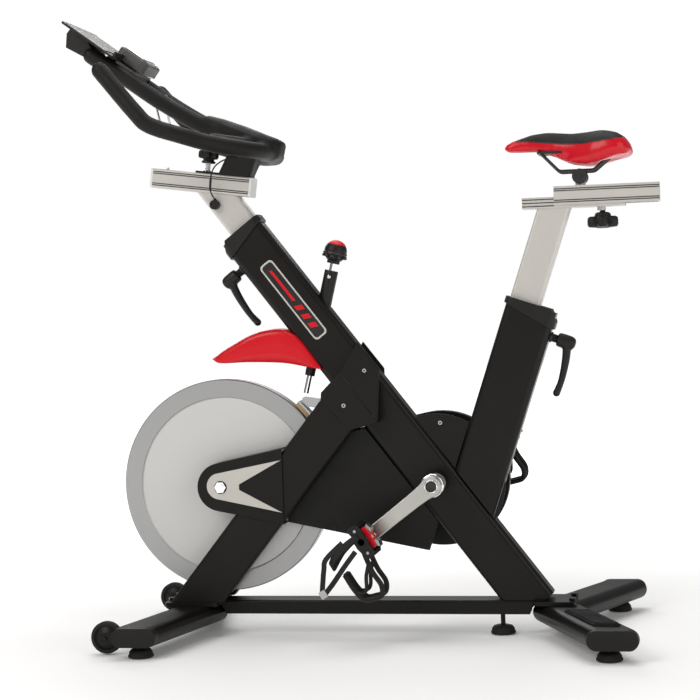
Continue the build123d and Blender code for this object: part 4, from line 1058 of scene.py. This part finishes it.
def add_fender():
    """Red splash guard: a moulded shell with a crowned top and round shoulders, open below."""
    top_line, low_line = curve_of(FENDER_TOP), curve_of(FENDER_LOW)
    bm = bmesh.new()
    rings = []
    for step in range(45):
        x = -493.6 + (493.6 - 243.5) * (step / 44) ** 1.15
        top, low = between(top_line, x), between(low_line, x)
        half = between([(-494, 21), (-470, 27), (-420, 34), (-340, 39), (-243, 40)], x)
        round_r = min(13.0, (top - low) * 0.8)
        side = [(half, low + (top - round_r - low) * part) for part in (0, 0.33, 0.66, 1)]
        shoulder = [(half - round_r * (1 - cos(radians(a))), top - round_r + round_r * sin(radians(a)))
                    for a in (22, 45, 68)]
        crown = [(half - round_r, top), ((half - round_r) * 0.5, top + 0.5), (0, top + 0.7)]
        right = side + shoulder + crown
        section = [(-y, z) for y, z in right] + [(y, z) for y, z in reversed(right[:-1])]
        rings.append([bm.verts.new(at(x, z, y)) for y, z in section])
    for low_ring, high_ring in zip(rings, rings[1:]):
        for k in range(len(low_ring) - 1):
            bm.faces.new((low_ring[k], low_ring[k + 1], high_ring[k + 1], high_ring[k]))
    fender = from_bmesh("fender_shell", bm, "frame", [RED_PLASTIC])
    wall = fender.modifiers.new("wall", "SOLIDIFY")
    wall.thickness = 0.003
    wall.offset = -1
    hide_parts("fender")


add_fender()


# ---- levers ---------------------------------------------------------------------------------
def add_lever(name, way, out):
    """Ratchet lever: a round head on a collar, and an arm that bends down beside the tube."""
    foot = Vector(joints[f"{name}_turn"]["pos_m"]) - out * 0.0096
    turned = place(foot, way, out)
    bm = bmesh.new()
    add_lathe(bm, [(0.0135, 0.016), (0.015, 0.019), (0.0155, 0.032), (0.0148, 0.046), (0.012, 0.053),
                   (0.006, 0.0562), (0, 0.0565)], turned, 32)
    arm = smooth_path([foot + out * mm(o) - way * mm(d) for o, d in
                       ((36, 0), (41, 14), (46, 38), (49, 64), (50, 88), (48, 111))], 6)
    add_tube(bm, arm, lambda t: 0.0125 - 0.0045 * t + 0.002 * max(0.0, t - 0.8) * 5, 20, 0.8)
    add_end(bm, arm[::-1], 0.0085)
    lever = fuse(from_bmesh(f"{name}_arm", bm, name, [BLACK_PLASTIC]), 0.0022, 6)
    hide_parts(name)
    bm = bmesh.new()
    add_lathe(bm, [(0.0105, 0.0003), (0.0115, 0.001), (0.0115, 0.004), (0.0085, 0.005), (0.0085, 0.0165)],
              turned, 32)
    for low in range(6, 15, 2):
        add_lathe(bm, [(0.0085, mm(low)), (0.0094, mm(low + 0.6)), (0.0085, mm(low + 1.2))], turned, 28)
    neck = from_bmesh(f"{name}_neck", bm, name, [SMOOTH_BLACK])


add_lever("bar_lever", MAIN_WAY, -MAIN_OUT)
add_lever("seat_lever", SEAT_WAY, SEAT_OUT)


# ---- brake knob and name plates --------------------------------------------------------------
def add_brake_knob():
    """Red button set in the top of the brake knob, and the screw in its guide."""
    centre = at(-229, 770) + BRAKE_WAY * 0.073
    turned = place(centre, (0, 1, 0), BRAKE_WAY)
    radius = 0.0254
    angles = [radians(a) for a in range(50, 0, -5)]
    profile = [(0.0205, 0.0135)] + [(radius * sin(a), radius * cos(a)) for a in angles] + [(0, radius)]
    bm = bmesh.new()
    add_lathe(bm, profile, turned, 48)
    cap = from_bmesh("brake_knob_cap", bm, "brake_knob", [RED_PLASTIC])
    bm = bmesh.new()
    ring = [(0.0249, -0.0075), (0.0268, -0.0062), (0.0268, -0.0032), (0.0249, -0.0015)]
    add_lathe(bm, ring, turned, 48)
    for k in range(10):
        a = 2 * pi * k / 10
        spot = turned @ Matrix.Translation((0.0236 * cos(a), 0.0236 * sin(a), -0.0115))
        add_lathe(bm, [(0.0036, -0.003), (0.0042, 0), (0.0036, 0.003), (0.001, 0.005), (0, 0.005)], spot, 12)
    grip = from_bmesh("brake_knob_grip", bm, "brake_knob", [SMOOTH_BLACK])
    bm = bmesh.new()
    socket_screw(bm, place(at(-229, 770) + BRAKE_WAY * 0.016 + NEAR * 0.0144, (1, 0, 0), NEAR), 0.0042,
                 0.0022)
    screw = from_bmesh("brake_guide_screw", bm, "frame", [CHROME])


def add_name_plates():
    """Plain badge on each side of the main tube: a light rim, a dark field and three slanted bars."""
    for side, word in ((-1, "left"), (1, "right")):
        flat = place(at(-303, 738, side * 30), MAIN_WAY, (0, side, 0))
        bm = bmesh.new()
        add_prism(bm, rounded_box(0.1025, 0.017, 0.009), -0.0003, 0.0010, flat)
        rim = bevel(from_bmesh(f"{word}_plate", bm, "frame", [SILVER_RAIL], smooth=False), 0.0004)
        bm = bmesh.new()
        add_prism(bm, rounded_box(0.0985, 0.0135, 0.007), 0.0008, 0.0013, flat)
        field = from_bmesh(f"{word}_plate_field", bm, "frame", [SMOOTH_BLACK], smooth=False)
        bm = bmesh.new()
        for start in (-0.080, -0.056, -0.032):
            bar = [(start, -0.008), (start + 0.012, -0.008), (start + 0.020, 0.008), (start + 0.008, 0.008)]
            add_prism(bm, bar, 0.0011, 0.0017, flat)
        long_bar = [(-0.004, -0.003), (0.080, -0.003), (0.083, 0.003), (-0.001, 0.003)]
        add_prism(bm, long_bar, 0.0011, 0.0017, flat)
        bars = from_bmesh(f"{word}_plate_bars", bm, "frame", [RED_PLASTIC], smooth=False)


add_brake_knob()
add_name_plates()


# ---- cranks ---------------------------------------------------------------------------------
def crank_outline(length):
    """Crank arm that narrows from its round hub to the pedal eye."""
    half = [(0, 22), (20, 18.4), (45, 16.8), (100, 16), (140, 15.6), (length, 15.5)]
    hub = [(22 * cos(radians(a)), 22 * sin(radians(a))) for a in range(70, 291, 10)]
    eye = [(length + 15.5 * cos(radians(a)), 15.5 * sin(radians(a))) for a in range(-80, 81, 10)]
    edge = [(x, between(half, x)) for x in (22, 34, 46, 60, 80, 100, 120, 140, 154)]
    points = hub + [(x, -y) for x, y in edge] + eye + [(x, y) for x, y in reversed(edge)]
    return [(mm(x), mm(y)) for x, y in points]


def add_crank(side, word):
    """Polished arm, with the dark socket and chrome lip at the axle."""
    hub = CRANK + Vector((0, side * 0.105, 0))
    pin = Vector(joints[f"{word}_pedal_spin"]["pos_m"])
    way = Vector((pin.x - CRANK.x, 0, pin.z - CRANK.z))
    flat = place(hub, way, (0, side, 0))
    bm = bmesh.new()
    add_prism(bm, crank_outline(170), -0.0072, 0.0072, flat)
    arm = bevel(from_bmesh(f"{word}_crank_arm", bm, "crank", [CRANK_ALLOY], smooth=False), 0.0028, 4, 30)
    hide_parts(f"{word}_crank")
    bm = bmesh.new()
    add_lathe(bm, [(0.0145, 0.0068), (0.0145, 0.0086), (0.0130, 0.0092), (0.0118, 0.0086),
                   (0.0116, 0.0060)], flat, 40)
    add_lathe(bm, [(0.0225, -0.0170), (0.0255, -0.0160), (0.0255, -0.0095), (0.0230, -0.0075)], flat, 48)
    eye = flat @ Matrix.Translation((0.170, 0, 0))
    add_lathe(bm, [(0.0092, 0.0066), (0.0092, 0.0079), (0.0078, 0.0084), (0.0070, 0.0079)], eye, 32)
    lip = from_bmesh(f"{word}_crank_lip", bm, "crank", [CHROME])
    bm = bmesh.new()
    add_lathe(bm, [(0.0122, 0.0060), (0.0122, 0.0083), (0.0085, 0.0079), (0, 0.0077)], flat, 40)
    cap = from_bmesh(f"{word}_crank_cap", bm, "crank", [SMOOTH_BLACK])


for side, word in ((-1, "left"), (1, "right")):
    add_crank(side, word)


# ---- pedals ---------------------------------------------------------------------------------
PEDAL_TOE = slope(-59)
PEDAL_FOOT = Vector((-0.857, 0, -0.515))


def add_pedal(word):
    """Two-sided pedal: a toothed cage with a strap clip on one face and a red cleat block on the other."""
    pin = Vector(joints[f"{word}_pedal_spin"]["pos_m"])
    flat = place(pin, PEDAL_TOE, (0, 1, 0))
    foot_sign = 1 if (flat.to_3x3() @ Vector((0, 1, 0))).dot(PEDAL_FOOT) > 0 else -1

    def spot(t, h, y):
        return pin + PEDAL_TOE * mm(t) + PEDAL_FOOT * mm(h) + Vector((0, mm(y), 0))

    def outline(pairs):
        return [(mm(t), foot_sign * mm(h)) for t, h in pairs]

    bm = bmesh.new()
    cheek = [(-38, -6), (-30, -12), (30, -12), (38, -6), (38, 10), (34, 15), (20, 12), (8, 15), (-8, 15),
             (-20, 12),
             (-34, 15), (-38, 10)]
    for low, high in ((-0.045, -0.038), (0.038, 0.045)):
        add_prism(bm, outline(cheek), low, high, flat)
    for t in (-34, 34):
        wall = [(t - 4, -9), (t + 4, -9), (t + 4, 11), (t - 4, 11)]
        add_prism(bm, outline(wall), -0.040, 0.040, flat)
        for y in range(-30, 31, 12):
            tooth = [(t - 4, 10), (t + 4, 10), (t + 2.5, 15), (t - 2.5, 15)]
            add_prism(bm, outline(tooth), mm(y - 3), mm(y + 3), flat)
    for y in (-20, 20):
        add_prism(bm, outline([(-31, -5), (31, -5), (31, 5), (-31, 5)]), mm(y - 3), mm(y + 3), flat)
    body = bevel(from_bmesh(f"{word}_pedal_cage", bm, f"{word}_pedal", [BLACK_PLASTIC], smooth=False),
                 0.0012, 3)
    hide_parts(f"{word}_pedal")

    bm = bmesh.new()
    barrel = [(0.0072, -0.045), (0.0125, -0.044), (0.0135, -0.030), (0.011, -0.022), (0.011, 0.022),
              (0.0135, 0.030),
              (0.0125, 0.044), (0.0072, 0.045)]
    add_lathe(bm, barrel, flat, 32)
    hub = from_bmesh(f"{word}_pedal_barrel", bm, f"{word}_pedal", [SMOOTH_BLACK])

    bm = bmesh.new()
    block = [(-24, -9), (24, -9), (24, -16), (15, -20), (-11, -20), (-18, -18), (-24, -15)]
    for low, high in ((-0.022, -0.009), (-0.006, 0.006), (0.009, 0.022)):
        add_prism(bm, outline(block), low, high, flat)
    red = bevel(from_bmesh(f"{word}_cleat_block", bm, f"{word}_pedal", [RED_PLASTIC], smooth=False), 0.002, 3)

    bm = bmesh.new()
    jaw = [(12, -19), (24, -19), (29, -24), (17, -26), (10, -22)]
    add_prism(bm, outline(jaw), -0.016, 0.016, flat)
    jaw = [(-10, -19), (-22, -16), (-27, -22), (-15, -26), (-8, -23)]
    add_prism(bm, outline(jaw), -0.014, 0.014, flat)
    for t, h, y in ((3, -20, -16), (3, -20, 16)):
        socket_screw(bm, place(spot(t, h, y), PEDAL_TOE, -PEDAL_FOOT), 0.0042, 0.0025)
    for y, out in ((-45, -1), (45, 1)):
        for t in (-26, 26):
            socket_screw(bm, place(spot(t, 0, y), PEDAL_TOE, (0, out, 0)), 0.0034, 0.0016)
    jaws = bevel(from_bmesh(f"{word}_cleat_jaws", bm, f"{word}_pedal", [STEEL], smooth=False), 0.0006)
    add_toe_clip(word, spot)


def add_toe_clip(word, spot):
    """Open toe cage of moulded bars, and the strap that pulls it tight."""
    bm = bmesh.new()
    for y in (-27, 27):
        outer = smooth_path([spot(t, h, y * k) for t, h, k in
                             ((34, 13, 1), (66, 17, 1.05), (98, 16, 1), (116, 28, 0.85), (113, 48, 0.75),
                              (104, 66, 0.7), (77, 73, 0.65), (40, 74, 0.6))], 6)
        add_tube(bm, outer, 0.0030, 12, 1.9)
        inner = smooth_path([spot(t, h, y * k) for t, h, k in
                             ((46, 15, 1), (66, 34, 0.95), (88, 48, 0.85), (92, 60, 0.75), (86, 71, 0.66))],
                             6)
        add_tube(bm, inner, 0.0026, 12, 1.6)
    for t, h, half in ((36, 13, 27), (116, 28, 23), (104, 66, 19), (40, 74, 17)):
        bar = [spot(t, h, y) for y in (-half, -half / 2, 0, half / 2, half)]
        add_tube(bm, bar, 0.0032, 12, hint=Vector((0, 0, 1)))
    for y in (-7, 7):
        add_tube(bm, smooth_path([spot(t, h, y) for t,
                                  h in ((116, 28), (113, 48), (104, 66), (77, 73.5), (40, 74))], 5),
                 0.0024, 10)
    cage = from_bmesh(f"{word}_toe_cage", bm, f"{word}_pedal", [BLACK_PLASTIC])
    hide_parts(f"{word}_toe_clip")
    bm = bmesh.new()
    loop = [(-14, 0, -47), (-12, 30, -48), (-4, 62, -46), (6, 82, -36), (14, 90, -14), (16, 92, 8),
            (10, 86, 32),
            (-2, 64, 46), (-10, 32, 48), (-14, 0, 47)]
    add_ribbon(bm, smooth_path([spot(*point) for point in loop], 6), 0.013, 0.0022, PEDAL_TOE)
    for run in (((-20, 34), (-9, 82), (6, 97), (28, 114), (47, 128)),
                ((52, 126), (42, 98), (24, 56), (10, 20))):
        add_tube(bm, smooth_path([spot(t, h, -48) for t, h in run], 6), 0.0012, 12, flat=4.6)
    strap = from_bmesh(f"{word}_strap", bm, f"{word}_pedal", [RUBBER], smooth=False)
    bm = bmesh.new()
    buckle = place(spot(50, 127, -48), PEDAL_TOE, (0, -1, 0))
    add_prism(bm, rounded_box(0.0085, 0.0075, 0.002), -0.0028, 0.0028, buckle)
    clasp = bevel(from_bmesh(f"{word}_buckle", bm, f"{word}_pedal", [STEEL], smooth=False), 0.0005)


for word in ("left", "right"):
    add_pedal(word)


# ---- feet, castors and pads -------------------------------------------------------------------
def add_feet():
    """Threads and lock nuts above the levelling feet, and the cone-shaped rubber over them."""
    low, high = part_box("levelling_feet")
    spots = [(x, y) for x in (low[0] + 0.022, high[0] - 0.022) for y in (-0.272, 0.272)]
    steel = bmesh.new()
    rubber = bmesh.new()
    for x, y in spots:
        up = place((x, y, 0), (1, 0, 0), (0, 0, 1))
        for z in range(12, 24, 2):
            add_lathe(steel, [(0.0050, mm(z)), (0.0062, mm(z + 0.8)), (0.0050, mm(z + 1.6))], up, 20)
        add_prism(steel, regular(6, 0.0105, 0.3), 0.0205, 0.0252, up)
    for x, y in spots + [(CRANK.x + 0.132, 0)]:
        add_lathe(rubber, [(0.0245, 0.0004), (0.0268, 0.0016), (0.0268, 0.0058), (0.0252, 0.0068),
                           (0.0246, 0.0120),
                           (0.0205, 0.0172), (0.0120, 0.0196), (0.0095, 0.0196)],
                  place((x, y, 0), (1, 0, 0), (0, 0, 1)), 40)
    nuts = from_bmesh("foot_nuts", steel, "frame", [CHROME], smooth=False)
    rings = from_bmesh("foot_rings", rubber, "frame", [RUBBER])


def add_castor_hubs():
    """Black hub and axle bolt in each transport wheel."""
    for word in ("left", "right"):
        centre = Vector(joints[f"{word}_castor_spin"]["pos_m"])
        bm = bmesh.new()
        for out in (-1, 1):
            turned = place(centre, (1, 0, 0), (0, out, 0))
            add_lathe(bm, [(0.0250, 0.0070), (0.0244, 0.0088), (0.0150, 0.0092), (0.0130, 0.0118),
                           (0.0062, 0.0121)],
                      turned, 36)
        hub = from_bmesh(f"{word}_castor_hub", bm, f"{word}_castor", [BLACK_PLASTIC])


def add_step_pad():
    """Ribbed rubber pad on the near arm of the rear stabiliser. The far arm is bare."""

    def middle(y):
        return 250 + 130 * y / 290

    near, far, half = 112, 262, 27
    corners = [(near, -half), (near, half), (far, half), (far, -half)]
    outline = [(CRANK.x + mm(middle(y) + across), -mm(y)) for y, across in corners]
    bm = bmesh.new()
    add_prism(bm, outline[::-1], 0.068, 0.072, Matrix())
    for y in range(near + 6, far - 3, 10):
        flat = place(at(middle(y), 72, -y), (1, 0, 0), (0, 0, 1))
        add_prism(bm, rounded_box(0.0245, 0.0024, 0.002, 3), -0.0003, 0.0028, flat)
    for across in (-18, -6, 6, 18):
        run = [at(middle(y) + across, 73, -y) for y in (near + 4, far - 4)]
        add_tube(bm, run, 0.0016, 8)
    pad = from_bmesh("step_pad_tread", bm, "frame", [RUBBER], smooth=False)
    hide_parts("step_pads")


def add_cover_beads():
    """Raised bead along the folded edges of the near joint cover."""
    fold = [(-198, 578, -67), (-131, 485.5, -67), (-119, 467, -67), (-117, 581, -34), (-163, 641, -35)]
    bm = bmesh.new()
    for start, end in zip(fold, fold[1:]):
        add_tube(bm, [at(x, z, y) for x, z, y in (start, end)], 0.0014, 10)
    beads = from_bmesh("cover_beads", bm, "frame", [GUARD_PLASTIC])


add_cover_beads()
add_feet()
add_castor_hubs()
add_step_pad()
